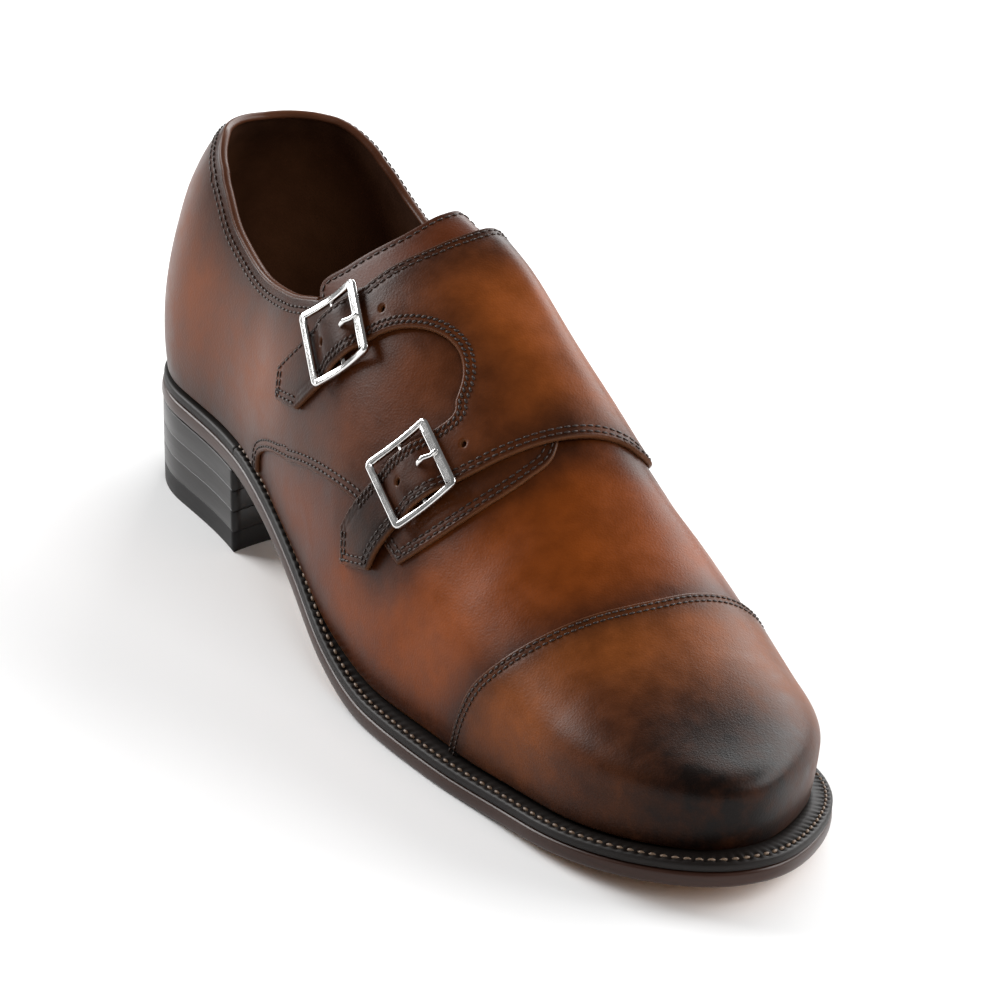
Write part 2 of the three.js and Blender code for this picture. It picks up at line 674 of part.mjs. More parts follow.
// A buckle's frame: a rounded rectangle of bar that dips to its centre bar
function frameGeometry(rearHeight, frontHeight) {
  const halfLength = (buckleLength - buckleBar) / 2;
  const halfWidth = (buckleWidth - buckleBar) / 2;
  const barHeight = gap + leather + gap + centerBar / 2;
  const middleHeight = gap + leather + 2 * gap + buckleBar / 2;
  const heightAt = (x) => {
    const end = x < 0 ? rearHeight : frontHeight;
    return THREE.MathUtils.lerp(middleHeight, end, (x / halfLength) ** 2);
  };
  const path = [];
  const corner = (cx, cy, start) => {
    for (let k = 0; k <= 3; k += 1) {
      const turn = start + (k / 3) * Math.PI / 2;
      path.push([cx + Math.cos(turn) * cornerRadius, cy + Math.sin(turn) * cornerRadius]);
    }
  };
  const side = (y, from, to) => [0.25, 0.5, 0.75].forEach((t) => path.push([from + (to - from) * t, y]));
  const cx = halfLength - cornerRadius;
  const cy = halfWidth - cornerRadius;
  corner(cx, cy, 0);
  side(halfWidth, cx, -cx);
  corner(-cx, cy, Math.PI / 2);
  corner(-cx, -cy, Math.PI);
  side(-halfWidth, -cx, cx);
  corner(cx, -cy, 3 * Math.PI / 2);
  const ring = roundBar(buckleBar, path.map(([x, y]) => new THREE.Vector3(x, y, heightAt(x))), true);
  const bar = roundBar(centerBar, [
    new THREE.Vector3(0, -halfWidth, barHeight),
    new THREE.Vector3(0, halfWidth, barHeight),
  ], false);
  return geometryOf(solidOf(ring).add(solidOf(bar)));
}

// A buckle's prong: from beside the centre bar, up through the strap's slot and over the
// front bar
function prongGeometry(frontHeight) {
  const halfLength = (buckleLength - buckleBar) / 2;
  const top = frontHeight + buckleBar / 2 + gap + prongThickness / 2;
  const start = centerBar / 2 + gap + prongThickness / 2;
  const path = [
    new THREE.Vector3(start, 0, gap + leather + gap + prongThickness / 2),
    new THREE.Vector3(start + 1.2, 0, strapBase + barRise),
    new THREE.Vector3(halfLength - buckleBar, 0, top),
    new THREE.Vector3(halfLength + buckleBar * 0.4, 0, top),
  ];
  return roundBar(prongThickness, path, false);
}

const assembly = new THREE.Group();
function place(name, geometry, colour, roughness, metalness = 0) {
  const material = new THREE.MeshStandardMaterial({ color: colour, roughness, metalness });
  const mesh = new THREE.Mesh(geometry, material);
  mesh.name = name;
  assembly.add(mesh);
  return mesh;
}

const cognac = 0x7a3a17;
const darkBrown = 0x4a2814;
const soleBrown = 0x3a2216;
const heelBlack = 0x1c1816;
const steel = 0xc9cbce;

// Sole
const outsoleTop = (station) => undersideHeight(station) + outsoleThickness;
place('outsole', soleStack([
  { inset: even(weltStep), height: undersideHeight },
  { inset: even(0), height: (s) => undersideHeight(s) + outsoleThickness * 0.3 },
  { inset: even(0), height: outsoleTop },
]), soleBrown, 0.45);

const breastAlong = heelLength / soleLength;
const weltPlaces = (from, to, side) => alongLines.filter((a) => a > from && a < to).map((along) => ({ along, side }));
const throughToe = [
  { along: breastAlong, side: -1 },
  ...weltPlaces(breastAlong + 0.01, 1, -1),
  { along: 1, side: -1 },
  ...weltPlaces(breastAlong + 0.01, 1, 1).reverse(),
  { along: breastAlong, side: 1 },
];
const seatEnd = breastAlong - gap / soleLength;
const throughHeel = [
  { along: seatEnd, side: 1 },
  ...weltPlaces(0, seatEnd - 0.01, 1).reverse(),
  { along: 0, side: -1 },
  ...weltPlaces(0, seatEnd - 0.01, -1),
  { along: seatEnd, side: -1 },
];
const weltLow = (station) => outsoleTop(station) + gap;
const weltHigh = (station) => outsoleTop(station) + gap + weltThickness;
place('welt', edgeStrip(throughToe, weltStep, weltWidth, weltLow, weltHigh), heelBlack, 0.5);
place('heel_seat', edgeStrip(throughHeel, weltStep, weltWidth, weltLow, weltHigh), heelBlack, 0.5);

const insoleInset = (along) => Math.max(
  weltWidth,
  column(lastTable, 'welt', along) * ballWidth + upperWall + gap,
) + 2 * gap;
place('insole', soleStack([
  { inset: insoleInset, height: (s) => outsoleTop(s) + gap },
  { inset: insoleInset, height: (s) => outsoleTop(s) + gap + insoleThickness },
]), 0x9b6a3f, 0.8);

const liftThickness = (heelHeight - topPieceThickness) / liftCount;
place('top_piece', heelLift(0, () => topPieceThickness), heelBlack, 0.5);
for (let i = 0; i < liftCount; i += 1) {
  const low = topPieceThickness + i * liftThickness;
  const isTop = i === liftCount - 1;
  const high = isTop ? (station) => undersideHeight(Math.min(station, heelLength)) - gap : () => low + liftThickness;
  place(`lift_${i + 1}`, heelLift(low, high), heelBlack, 0.4);
}

// Upper
const margin = 0.05;
const upperOutline = [
  new THREE.Vector2(-margin, -margin),
  new THREE.Vector2(1 + margin, -margin),
  new THREE.Vector2(1 + margin, 2 + margin),
  new THREE.Vector2(-margin, 2 + margin),
  new THREE.Vector2(-margin, collarIn[collarIn.length - 1][1]),
  ...smoothOutline([collarIn.slice().reverse(), throat.slice().reverse(), collarOut.slice().reverse()]),
  new THREE.Vector2(0, collarOut[0][1]),
  new THREE.Vector2(-margin, collarOut[0][1]),
];
place('upper', panel(upperOutline, [], even(-upperWall), even(0)), cognac, 0.4);
place('tongue', panel(smoothOutline(tongueOutline), [], even(-upperWall - gap - tongueThickness),
  even(-upperWall - gap)), 0xa05a28, 0.5);

place('toe_cap', panel(smoothOutline(capOutline), [], even(gap), even(gap + leather)), darkBrown, 0.35);
place('outer_quarter', panel(smoothOutline(quarterOutline), [], even(gap), even(gap + leather)), cognac, 0.4);

// Straps, with a slot where each prong comes through
const slotLength = 0.055;
const slotWidth = 0.0075;
const slots = buckles.map((buckle) => {
  const share = (girth) => buckle.from[0] + ((buckle.to[0] - buckle.from[0]) * (girth - buckle.from[1]))
    / (buckle.to[1] - buckle.from[1]);
  const low = buckle.girth + 0.012;
  const high = low + slotLength;
  return [
    new THREE.Vector2(share(low) - slotWidth / 2, low),
    new THREE.Vector2(share(low) + slotWidth / 2, low),
    new THREE.Vector2(share(high) + slotWidth / 2, high),
    new THREE.Vector2(share(high) - slotWidth / 2, high),
  ];
});
place('inner_quarter_with_straps', panel(smoothOutline(apronOutline), slots, apronLow, apronHigh), darkBrown, 0.4);

// Buckles
buckles.forEach((buckle) => {
  const frame = buckleFrame(buckle);
  const halfLength = (buckleLength - buckleBar) / 2;
  const [rear, front] = [-halfLength, halfLength].map((x) => strapHeight(buckle, frame, x) + gap + buckleBar / 2);
  place(`buckle_${buckle.name}`, frameGeometry(rear, front).applyMatrix4(frame), steel, 0.2, 1);
  place(`prong_${buckle.name}`, prongGeometry(front).applyMatrix4(frame), steel, 0.2, 1);
});

// The origin is below the middle of the whole shoe, on the ground
const box = new THREE.Box3().setFromObject(assembly);
const middle = box.getCenter(new THREE.Vector3());
const shoe = new THREE.Group();
shoe.add(assembly);
assembly.position.set(-middle.x, -middle.y, -box.min.z);

export default shoe;
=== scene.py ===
"""A men's double monk strap shoe with a toe cap, right foot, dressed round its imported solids.

The toe points along -Y, the buckled outer side is -X and the sole stands on Z = 0. Lengths
are in millimetres until a mesh is made, which is in metres. A place on the leather is
(along, girth): along runs from 0 at the heel to 1 at the toe, girth from 0 at the outer
welt over the ridge at 1 to 2 at the inner welt.
"""
import math

import bmesh
import bpy
import numpy as np
from mathutils import Matrix, Vector
from mathutils.geometry import delaunay_2d_cdt


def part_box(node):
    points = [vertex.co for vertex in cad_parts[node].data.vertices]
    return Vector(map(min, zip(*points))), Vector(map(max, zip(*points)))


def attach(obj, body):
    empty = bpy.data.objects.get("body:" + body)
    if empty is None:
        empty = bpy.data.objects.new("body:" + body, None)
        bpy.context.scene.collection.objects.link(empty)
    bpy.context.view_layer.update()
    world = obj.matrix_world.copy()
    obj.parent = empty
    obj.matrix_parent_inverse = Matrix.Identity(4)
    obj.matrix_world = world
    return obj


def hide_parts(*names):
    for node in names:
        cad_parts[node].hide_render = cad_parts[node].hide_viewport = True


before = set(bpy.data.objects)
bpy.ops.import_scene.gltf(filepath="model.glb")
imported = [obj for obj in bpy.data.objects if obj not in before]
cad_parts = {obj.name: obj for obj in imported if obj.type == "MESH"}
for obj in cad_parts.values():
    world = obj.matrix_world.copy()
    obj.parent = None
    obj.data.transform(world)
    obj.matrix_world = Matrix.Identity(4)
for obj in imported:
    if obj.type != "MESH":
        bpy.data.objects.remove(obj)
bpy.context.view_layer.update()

# Insole
# A board of firm leather, cut to the bottom of the last. The upper is drawn over its edge
# and cemented there; its smooth brown top carries the foot and shows inside the collar.
sole_length = 302.0
ball_width = 105.0
heel_height = 25.0
heel_length = 72.0
heel_seat_pitch = 1.3
toe_spring = 8.0
spring_power = 1.9
flat_start = 0.60
flat_end = 0.71
heel_round, heel_power = 36.0, 2.1
toe_round, toe_power = 52.0, 2.15
outsole_thickness = 4.3
welt_thickness = 2.6
welt_width = 9.0
upper_wall = 2.0
clearance = 0.3

# Half widths of the sole, as shares of the ball width
sole_outline = {
    "along": (0.0, 0.1, 0.2, 0.3, 0.4, 0.5, 0.6, 0.7, 0.8, 0.9, 1.0),
    "outer": (0.295, 0.303, 0.300, 0.330, 0.367, 0.414, 0.433, 0.410, 0.362, 0.328, 0.286),
    "inner": (0.295, 0.307, 0.295, 0.238, 0.217, 0.271, 0.386, 0.481, 0.490, 0.435, 0.310),
}

# Sections of the last. welt: how far the sole stands out, bulge: how far the side swells
# above it, waist: height of the widest line, lean: sideways place of the ridge, all as
# shares of the ball width. full: squareness over the instep. ridge: its height
last_sections = {
    "along": (0.0, 0.13, 0.25, 0.35, 0.45, 0.55, 0.65, 0.75, 0.85, 1.0),
    "welt": (0.029, 0.024, 0.025, 0.015, 0.023, 0.048, 0.069, 0.067, 0.069, 0.086),
    "bulge_outer": (0.029, 0.019, 0.010, 0.010, 0.010, 0.010, 0.010, 0.010, 0.010, 0.010),
    "bulge_inner": (0.029, 0.019, 0.029, 0.048, 0.038, 0.019, 0.014, 0.010, 0.010, 0.010),
    "waist": (0.210, 0.210, 0.210, 0.210, 0.190, 0.171, 0.162, 0.152, 0.143, 0.133),
    "lean": (0.0, 0.0, 0.010, 0.034, 0.077, 0.100, 0.100, 0.086, 0.067, 0.048),
    "full_outer": (2.10, 2.10, 2.00, 1.90, 1.85, 1.80, 1.90, 2.05, 2.05, 2.04),
    "full_inner": (2.10, 2.10, 2.10, 2.15, 2.22, 2.28, 2.20, 2.10, 1.82, 2.04),
    "ridge": (118.0, 120.0, 121.0, 118.0, 109.8, 92.6, 72.9, 55.4, 42.5, 37.0),
}


def column(table, name, along):
    """A smooth curve through one column of a table."""
    knots = np.array(table["along"])
    values = np.array(table[name])
    slopes = np.gradient(values, knots)
    along = np.asarray(along, float)
    i = np.clip(np.searchsorted(knots, along, side="right") - 1, 0, len(knots) - 2)
    span = knots[i + 1] - knots[i]
    t = np.clip((along - knots[i]) / span, 0, 1)
    start = ((2 * t - 3) * t * t + 1) * values[i] + ((t - 2) * t + 1) * t * span * slopes[i]
    return start + (3 - 2 * t) * t * t * values[i + 1] + (t - 1) * t * t * span * slopes[i + 1]


def underside_height(station):
    """Height of the outsole's underside: heel seat, arch, flat forefoot and toe spring."""
    flat_from, flat_to = flat_start * sole_length, flat_end * sole_length
    seat = heel_height + heel_seat_pitch * (1 - station / heel_length)
    span = flat_from - heel_length
    t = np.clip((station - heel_length) / span, 0, 1)
    seat_slope = -heel_seat_pitch / heel_length
    arch = ((2 * t - 3) * t * t + 1) * heel_height + ((t - 2) * t + 1) * t * span * seat_slope
    rise = np.clip((station - flat_to) / (sole_length - flat_to), 0, None)
    before_toe = np.where(station < flat_to, arch, toe_spring * rise**spring_power)
    return np.where(station < heel_length, seat, before_toe)


def sole_edge(along, side):
    """Station and sideways place of the sole's edge, side -1 outer or +1 inner."""
    along = np.asarray(along, float)
    heel_share, toe_share = heel_round / sole_length, toe_round / sole_length
    heel_turn = np.clip(along / heel_share, 0, 1) * np.pi / 2
    toe_turn = np.clip((along - 1 + toe_share) / toe_share, 0, 1) * np.pi / 2
    in_heel, in_toe = along < heel_share, along > 1 - toe_share
    heel_station = heel_round * (1 - np.maximum(np.cos(heel_turn), 0) ** (2 / heel_power))
    toe_station = sole_length - toe_round + toe_round * np.sin(toe_turn) ** (2 / toe_power)
    station = np.where(in_heel, heel_station, np.where(in_toe, toe_station, along * sole_length))
    heel_width = np.sin(heel_turn) ** (2 / heel_power)
    toe_width = np.where(along >= 1, 0, np.maximum(np.cos(toe_turn), 0) ** (2 / toe_power))
    width = np.where(in_heel, heel_width, np.where(in_toe, toe_width, 1.0))
    share = station / sole_length
    outer, inner = column(sole_outline, "outer", share), column(sole_outline, "inner", share)
    return station, side * np.where(np.asarray(side) < 0, outer, inner) * ball_width * width


def inset_edge(along, side, inset):
    """The same edge moved inwards, square to itself, and the station that it was moved from."""
    step = 1e-3
    along = np.asarray(along, float)
    station, x = sole_edge(along, side)
    station_a, x_a = sole_edge(np.maximum(along - step, 0), side)
    station_b, x_b = sole_edge(np.minimum(along + step, 1), side)
    at_end = (along <= 0) | (along >= 1)
    run_station = np.where(at_end, 0.0, station_b - station_a)
    run_x = np.where(at_end, side * np.where(along <= 0, 1.0, -1.0), x_b - x_a)
    length = np.hypot(run_station, run_x)
    return station + run_x / length * side * inset, x - run_station / length * side * inset, station


def loop_round_sole(along, inset, height):
    """A closed loop of points, down the outer side and back up the inner side."""
    outer = inset_edge(along, -1, inset(along))
    inner = inset_edge(along[-2:0:-1], 1, inset(along[-2:0:-1]))
    station, x, from_station = (np.concatenate(pair) for pair in zip(outer, inner))
    return np.stack([x, sole_length / 2 - station, height(from_station)], -1)


def wall_faces(rings, sides, closed=False):
    """Faces between rings of points that follow one another, and back to the first if closed."""
    faces = []
    for ring in range(rings if closed else rings - 1):
        here, there = ring * sides, (ring + 1) % rings * sides
        for i in range(sides):
            following = (i + 1) % sides
            faces.append((here + i, here + following, there + following, there + i))
    return faces


def slab_of(loops, across, crown=0.0):
    """Points and faces of a slab: a stack of loops for its wall, rows across for its two ends."""
    count = len(loops[0])
    columns = count // 2 + 1
    points = [tuple(p) for loop in loops for p in loop]
    faces = wall_faces(len(loops), count)
    for start, swell in ((0, 0.0), ((len(loops) - 1) * count, crown)):
        rows = [[start]]
        for i in range(1, columns - 1):
            first, last = start + i, start + count - i
            row = [first]
            for k in range(1, across):
                t = k / across
                x, y, z = ((1 - t) * np.array(points[first]) + t * np.array(points[last])).tolist()
                row.append(len(points))
                points.append((x, y, z + swell * 4 * t * (1 - t)))
            rows.append([*row, last])
        rows.append([start + columns - 1])
        for a, b in zip(rows, rows[1:]):
            for k in range(max(len(a), len(b)) - 1):
                corners = [a[min(k + step, len(a) - 1)] for step in (0, 1)]
                corners += [b[min(k + step, len(b) - 1)] for step in (1, 0)]
                faces.append(tuple(dict.fromkeys(corners)))
    return np.array(points), faces


# The solids are moved so that the origin is below the middle of the shoe
fine_along = np.linspace(0, 1, 2001)
outsole_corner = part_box("outsole")[1] * 1000
widest = sole_edge(fine_along, 1)[1].max()
shoe_shift = np.array([outsole_corner.x - widest, outsole_corner.y - sole_length / 2, 0.0])


def make_piece(name, points, faces, materials, face_materials=None, marks=None):
    """Makes a mesh object from points in millimetres. marks are numbers kept at each point."""
    mesh = bpy.data.meshes.new(name)
    mesh.from_pydata(((np.asarray(points) + shoe_shift) * 0.001).tolist(), [], faces)
    for key, values in (marks or {}).items():
        mesh.attributes.new(key, "FLOAT", "POINT").data.foreach_set(
            "value", np.asarray(values, np.float32)
        )
    if face_materials is not None:
        mesh.polygons.foreach_set("material_index", np.asarray(face_materials, np.int32))
    shape = bmesh.new()
    shape.from_mesh(mesh)
    bmesh.ops.remove_doubles(shape, verts=shape.verts, dist=3e-6)
    bmesh.ops.recalc_face_normals(shape, faces=shape.faces)
    shape.to_mesh(mesh)
    shape.free()
    mesh.shade_smooth()
    for material in materials:
        mesh.materials.append(material)
    piece = bpy.data.objects.new(name, mesh)
    bpy.context.scene.collection.objects.link(piece)
    return piece


def add_node(tree, kind, values=None, **settings):
    """Adds a shader or geometry node. values are for its input sockets, numbers or links."""
    made = tree.nodes.new(kind)
    for key, value in settings.items():
        setattr(made, key, value)
    for key, value in (values or {}).items():
        if isinstance(value, bpy.types.NodeSocket):
            tree.links.new(value, made.inputs[key])
        else:
            made.inputs[key].default_value = value
    return made


def new_group(name, kind, inputs, outputs):
    """A node group with named sockets. Each input is (name, socket type, default)."""
    tree = bpy.data.node_groups.new(name, kind)
    for label, socket, default in inputs:
        made = tree.interface.new_socket(label, in_out="INPUT", socket_type=socket)
        if default is not None:
            made.default_value = default
    for label, socket in outputs:
        tree.interface.new_socket(label, in_out="OUTPUT", socket_type=socket)
    return tree, add_node(tree, "NodeGroupInput").outputs, add_node(tree, "NodeGroupOutput").inputs


def grain_group():
    """Leather grain: fine pores between soft pebbles, as a height from 0 to 1."""
    tree, given, out = new_group(
        "leather_grain",
        "ShaderNodeTree",
        [("Pebble Size", "NodeSocketFloat", 0.0008), ("Wrinkle", "NodeSocketFloat", 0.4)],
        [("Height", "NodeSocketFloat")],
    )
    place = add_node(tree, "ShaderNodeTexCoord").outputs["Object"]
    per_metre = add_node(
        tree, "ShaderNodeMath", {0: 1.0, 1: given["Pebble Size"]}, operation="DIVIDE"
    ).outputs[0]
    pebbles = add_node(
        tree, "ShaderNodeTexVoronoi", {"Vector": place, "Scale": per_metre}, feature="SMOOTH_F1"
    )
    pebbles.inputs["Smoothness"].default_value = 0.6
    wide = add_node(tree, "ShaderNodeMath", {0: per_metre, 1: 0.22}, operation="MULTIPLY").outputs[0]
    wrinkles = add_node(
        tree, "ShaderNodeTexNoise", {"Vector": place, "Scale": wide, "Detail": 5.0, "Roughness": 0.62}
    )
    height = add_node(
        tree, "ShaderNodeMix", {"A": pebbles.outputs["Distance"], "B": wrinkles.outputs["Fac"]}
    )
    tree.links.new(given["Wrinkle"], height.inputs["Factor"])
    tree.links.new(height.outputs["Result"], out["Height"])
    return tree


def patina_and_shade_group():
    """Hand-burnished colour: warm patches in the middle of a panel, dark wax along its edges, and painted
    shade where a piece asks for it.
    """
    tree, given, out = new_group(
        "patina_and_shade",
        "ShaderNodeTree",
        [
            ("Light", "NodeSocketColor", (0.3, 0.1, 0.03, 1)),
            ("Middle", "NodeSocketColor", (0.16, 0.05, 0.015, 1)),
            ("Deep", "NodeSocketColor", (0.02, 0.01, 0.006, 1)),
            ("Wax and Shade", "NodeSocketFloat", 0.0),
            ("Glow", "NodeSocketFloat", 0.5),
            ("Patch Size", "NodeSocketFloat", 0.03),
        ],
        [("Color", "NodeSocketColor"), ("Cloud", "NodeSocketFloat")],
    )
    place = add_node(tree, "ShaderNodeTexCoord").outputs["Object"]
    per_metre = add_node(
        tree, "ShaderNodeMath", {0: 1.0, 1: given["Patch Size"]}, operation="DIVIDE"
    ).outputs[0]
    patches = add_node(tree, "ShaderNodeTexNoise", {"Vector": place, "Scale": per_metre, "Detail": 1.5})
    patch = add_node(
        tree, "ShaderNodeMapRange", {"Value": patches.outputs["Fac"], "From Min": 0.36, "From Max": 0.66}
    )
    finer = add_node(tree, "ShaderNodeMath", {0: per_metre, 1: 4.5}, operation="MULTIPLY").outputs[0]
    clouds = add_node(
        tree, "ShaderNodeTexNoise", {"Vector": place, "Scale": finer, "Detail": 5.0, "Roughness": 0.6}
    )
    cloud = add_node(
        tree, "ShaderNodeMapRange", {"Value": clouds.outputs["Fac"], "From Min": 0.3, "From Max": 0.7}
    )
    tone = add_node(tree, "ShaderNodeMix", {"Factor": 0.3, "A": patch.outputs[0], "B": cloud.outputs[0]})
    placed = add_node(
        tree, "ShaderNodeMix", {"Factor": 0.55, "A": tone.outputs["Result"], "B": given["Glow"]}
    )
    warm = add_node(tree, "ShaderNodeMix", {"Factor": placed.outputs["Result"]}, data_type="RGBA")
    tree.links.new(given["Middle"], warm.inputs["A"])
    tree.links.new(given["Light"], warm.inputs["B"])
    uneven = add_node(
        tree, "ShaderNodeMapRange", {"Value": cloud.outputs[0], "To Min": 1.1, "To Max": 0.88}
    )
    # The Wax and Shade number darkens towards Deep: dark wax, and painted shade where a piece carries it
    wax = add_node(
        tree, "ShaderNodeMath", {0: given["Wax and Shade"], 1: uneven.outputs[0]}, operation="MULTIPLY"
    )
    wax.use_clamp = True
    waxed = add_node(tree, "ShaderNodeMix", {"Factor": wax.outputs[0]}, data_type="RGBA")
    tree.links.new(warm.outputs["Result"], waxed.inputs["A"])
    tree.links.new(given["Deep"], waxed.inputs["B"])
    mottle = add_node(
        tree, "ShaderNodeMapRange", {"Value": cloud.outputs[0], "To Min": 0.9, "To Max": 1.1}
    )
    mottled = add_node(tree, "ShaderNodeMix", {"Factor": 1.0}, data_type="RGBA", blend_type="MULTIPLY")
    tree.links.new(waxed.outputs["Result"], mottled.inputs["A"])
    tree.links.new(mottle.outputs[0], mottled.inputs["B"])
    tree.links.new(mottled.outputs["Result"], out["Color"])
    tree.links.new(cloud.outputs[0], out["Cloud"])
    return tree


# A light tan painted along each cut edge: a painted highlight on the rounded rim
edge_highlight_tan = (0.13, 0.050, 0.020)
leather_grain = grain_group()
patina_and_shade = patina_and_shade_group()


def leather(name, light, middle, deep, roughness, patch=0.03, pebble=0.0006, relief=0.00008, coat=0.07):
    """A leather finish. The numbers wax_and_shade, glow and edge_highlight at the piece's points colour it.
    """
    material = bpy.data.materials.new(name)
    material.use_nodes = True
    tree = material.node_tree
    shader = tree.nodes["Principled BSDF"]
    grain = add_node(tree, "ShaderNodeGroup", node_tree=leather_grain)
    grain.inputs["Pebble Size"].default_value = pebble
    wax_and_shade = add_node(tree, "ShaderNodeAttribute", attribute_name="wax_and_shade")
    leather_colour = add_node(tree, "ShaderNodeGroup", node_tree=patina_and_shade)
    leather_colour.inputs["Light"].default_value = (*light, 1)
    leather_colour.inputs["Middle"].default_value = (*middle, 1)
    leather_colour.inputs["Deep"].default_value = (*deep, 1)
    leather_colour.inputs["Patch Size"].default_value = patch
    tree.links.new(wax_and_shade.outputs["Fac"], leather_colour.inputs["Wax and Shade"])
    glow = add_node(tree, "ShaderNodeAttribute", attribute_name="glow")
    tree.links.new(glow.outputs["Fac"], leather_colour.inputs["Glow"])
    # The painted highlight along each cut edge
    edge_highlight = add_node(tree, "ShaderNodeAttribute", attribute_name="edge_highlight")
    edged = add_node(tree, "ShaderNodeMix", {"Factor": edge_highlight.outputs["Fac"]}, data_type="RGBA")
    edged.inputs["B"].default_value = (*edge_highlight_tan, 1)
    tree.links.new(leather_colour.outputs["Color"], edged.inputs["A"])
    shine = add_node(tree, "ShaderNodeMapRange", {"Value": leather_colour.outputs["Cloud"]})
    shine.inputs["To Min"].default_value = roughness - 0.05
    shine.inputs["To Max"].default_value = roughness + 0.08
    bump = add_node(
        tree, "ShaderNodeBump", {"Height": grain.outputs["Height"], "Strength": 0.8, "Distance": relief}
    )
    tree.links.new(edged.outputs["Result"], shader.inputs["Base Color"])
    tree.links.new(shine.outputs[0], shader.inputs["Roughness"])
    tree.links.new(bump.outputs["Normal"], shader.inputs["Normal"])
    shader.inputs["Specular IOR Level"].default_value = 0.14
    shader.inputs["Coat Weight"].default_value = coat
    shader.inputs["Coat Roughness"].default_value = 0.3
    return material


insole_leather = leather(
    "sock leather", (0.20, 0.09, 0.04), (0.13, 0.055, 0.022), (0.05, 0.02, 0.01), 0.5, coat=0.05
)
insole_along = np.concatenate(
    [np.linspace(0, 0.12, 16), np.linspace(0.13, 0.82, 60), np.linspace(0.83, 1, 24)]
)


def insole_inset(least, less):
    """How far the board's edge lies inside the sole's edge, clear of the lining."""
    def inset(along):
        upper_edge = column(last_sections, "welt", along) * ball_width + upper_wall + clearance
        return np.maximum(least, upper_edge) + 2 * clearance + less
    return inset


def above_underside(rise):
    """Heights that follow the outsole's underside."""
    def height(station):
        return underside_height(station) + rise
    return height


insole_points, insole_faces = slab_of(
    [
        loop_round_sole(
            insole_along, insole_inset(least, less), above_underside(outsole_thickness + rise)
        )
        for least, less, rise in (
            (welt_width, 0.6, 0.3),
            (welt_width, 0.0, 0.8),
            (welt_width, 0.0, 3.05),
            (0, -0.4, 3.15),
            (0, -0.4, 3.9),
            (0, 0.0, 4.2),
            (0, 1.0, 4.3),
        )
    ],
    across=16,
    crown=0.4,
)
insole = make_piece("insole_board", insole_points, insole_faces, [insole_leather])
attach(insole, "root")
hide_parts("insole")

# Upper
# The vamp and the linings, closed into one shell and drawn tight over the last. It is calf
# leather with a smooth brown lining, open at the collar and throat and cut off at the welt.
heel_center = 40.0
backseam = 0.0006
welt_line = 0.012
leather_thickness = 1.3
side_share = 0.25
collar_outer = [[0, 0.655], [0.06, 0.665], [0.09, 0.655], [0.14, 0.565], [0.182, 0.495], [0.243, 0.463],
                [0.303, 0.497], [0.348, 0.555]]
collar_inner = [[0.41, 1.17], [0.385, 1.3], [0.348, 1.4], [0.303, 1.47], [0.243, 1.51], [0.182, 1.48],
                [0.14, 1.42], [0.09, 1.345], [0.06, 1.335], [0, 1.345]]
throat = [[0.348, 0.555], [0.4, 0.66], [0.46, 0.74], [0.52, 0.82], [0.535, 0.9], [0.5, 0.97], [0.44, 1.02],
          [0.41, 1.17]]


def last_point(along, girth):
    """The surface of the last at each place."""
    along, girth = np.broadcast_arrays(np.asarray(along, float), np.asarray(girth, float))
    past = (along < 0) | (along > 1)
    girth = np.where(past, 2 - girth, girth)
    along = np.where(along > 1, 2 - along, np.abs(along))
    side = np.where(girth <= 1, -1.0, 1.0)
    rise = np.clip(np.where(girth <= 1, girth, 2 - girth), -0.2, 1)
    place = sole_edge(along, side)[0] / sole_length
    foot_station, foot_x, edge_station = inset_edge(
        along, side, column(last_sections, "welt", place) * ball_width
    )
    station = np.clip(edge_station, heel_center, sole_length - toe_round)
    ridge_x = column(last_sections, "lean", station / sole_length) * ball_width
    ridge_z = column(last_sections, "ridge", station / sole_length)
    reach = np.hypot(foot_x - ridge_x, foot_station - station)
    out_x, out_station = (foot_x - ridge_x) / reach, (foot_station - station) / reach
    outer = side < 0
    bulge, full = (
        np.where(
            outer,
            column(last_sections, name + "_outer", place),
            column(last_sections, name + "_inner", place),
        )
        for name in ("bulge", "full")
    )
    bulge = bulge * ball_width
    waist = column(last_sections, "waist", place) * ball_width
    base = underside_height(foot_station) + outsole_thickness + welt_thickness + 2 * clearance
    t = np.minimum(rise / side_share, 1)
    turn = np.clip((rise - side_share) / (1 - side_share), 0, 1) * np.pi / 2
    round_in = np.maximum(np.cos(turn), 0) ** (2 / full)
    radius = np.where(rise < side_share, reach + bulge * (1 - (1 - t) ** 2), (reach + bulge) * round_in)
    radius = np.where(rise >= 1, 0, radius)
    crown = base + waist + (ridge_z - base - waist) * np.sin(turn) ** (2 / full)
    z = np.where(rise < side_share, base + waist * t, crown)
    after = column(last_sections, "ridge", (station + 0.5) / sole_length)
    before = column(last_sections, "ridge", (station - 0.5) / sole_length)
    falls = (edge_station > sole_length - toe_round) * (after - before) * radius * out_station
    z = z + falls * np.sin(turn) ** 2
    return np.stack([ridge_x + out_x * radius, sole_length / 2 - station - out_station * radius, z], -1)


# From here on the chart's rows close round the toe
toe_from = 1 - toe_round / sole_length


def last_directions(along, girth):
    """At each place, how the surface runs with along and with girth, and which way is out."""
    step = 2e-3
    along, girth = np.broadcast_arrays(np.asarray(along, float), np.asarray(girth, float))
    at_tip = (np.abs(girth - 1) < 1e-6) & (along > toe_from)
    along = np.where(at_tip, toe_from - step, along)
    off_ridge = 1 + 1.5 * step * np.where(girth <= 1, -1, 1)
    girth = np.where(np.abs(girth - 1) < 1.5 * step, off_ridge, girth)
    run = (last_point(along + step, girth) - last_point(along - step, girth)) / (2 * step)
    climb = (last_point(along, girth + step) - last_point(along, girth - step)) / (2 * step)
    out = np.cross(run, climb)
    return run, climb, out / np.maximum(np.linalg.norm(out, axis=-1, keepdims=True), 1e-9)


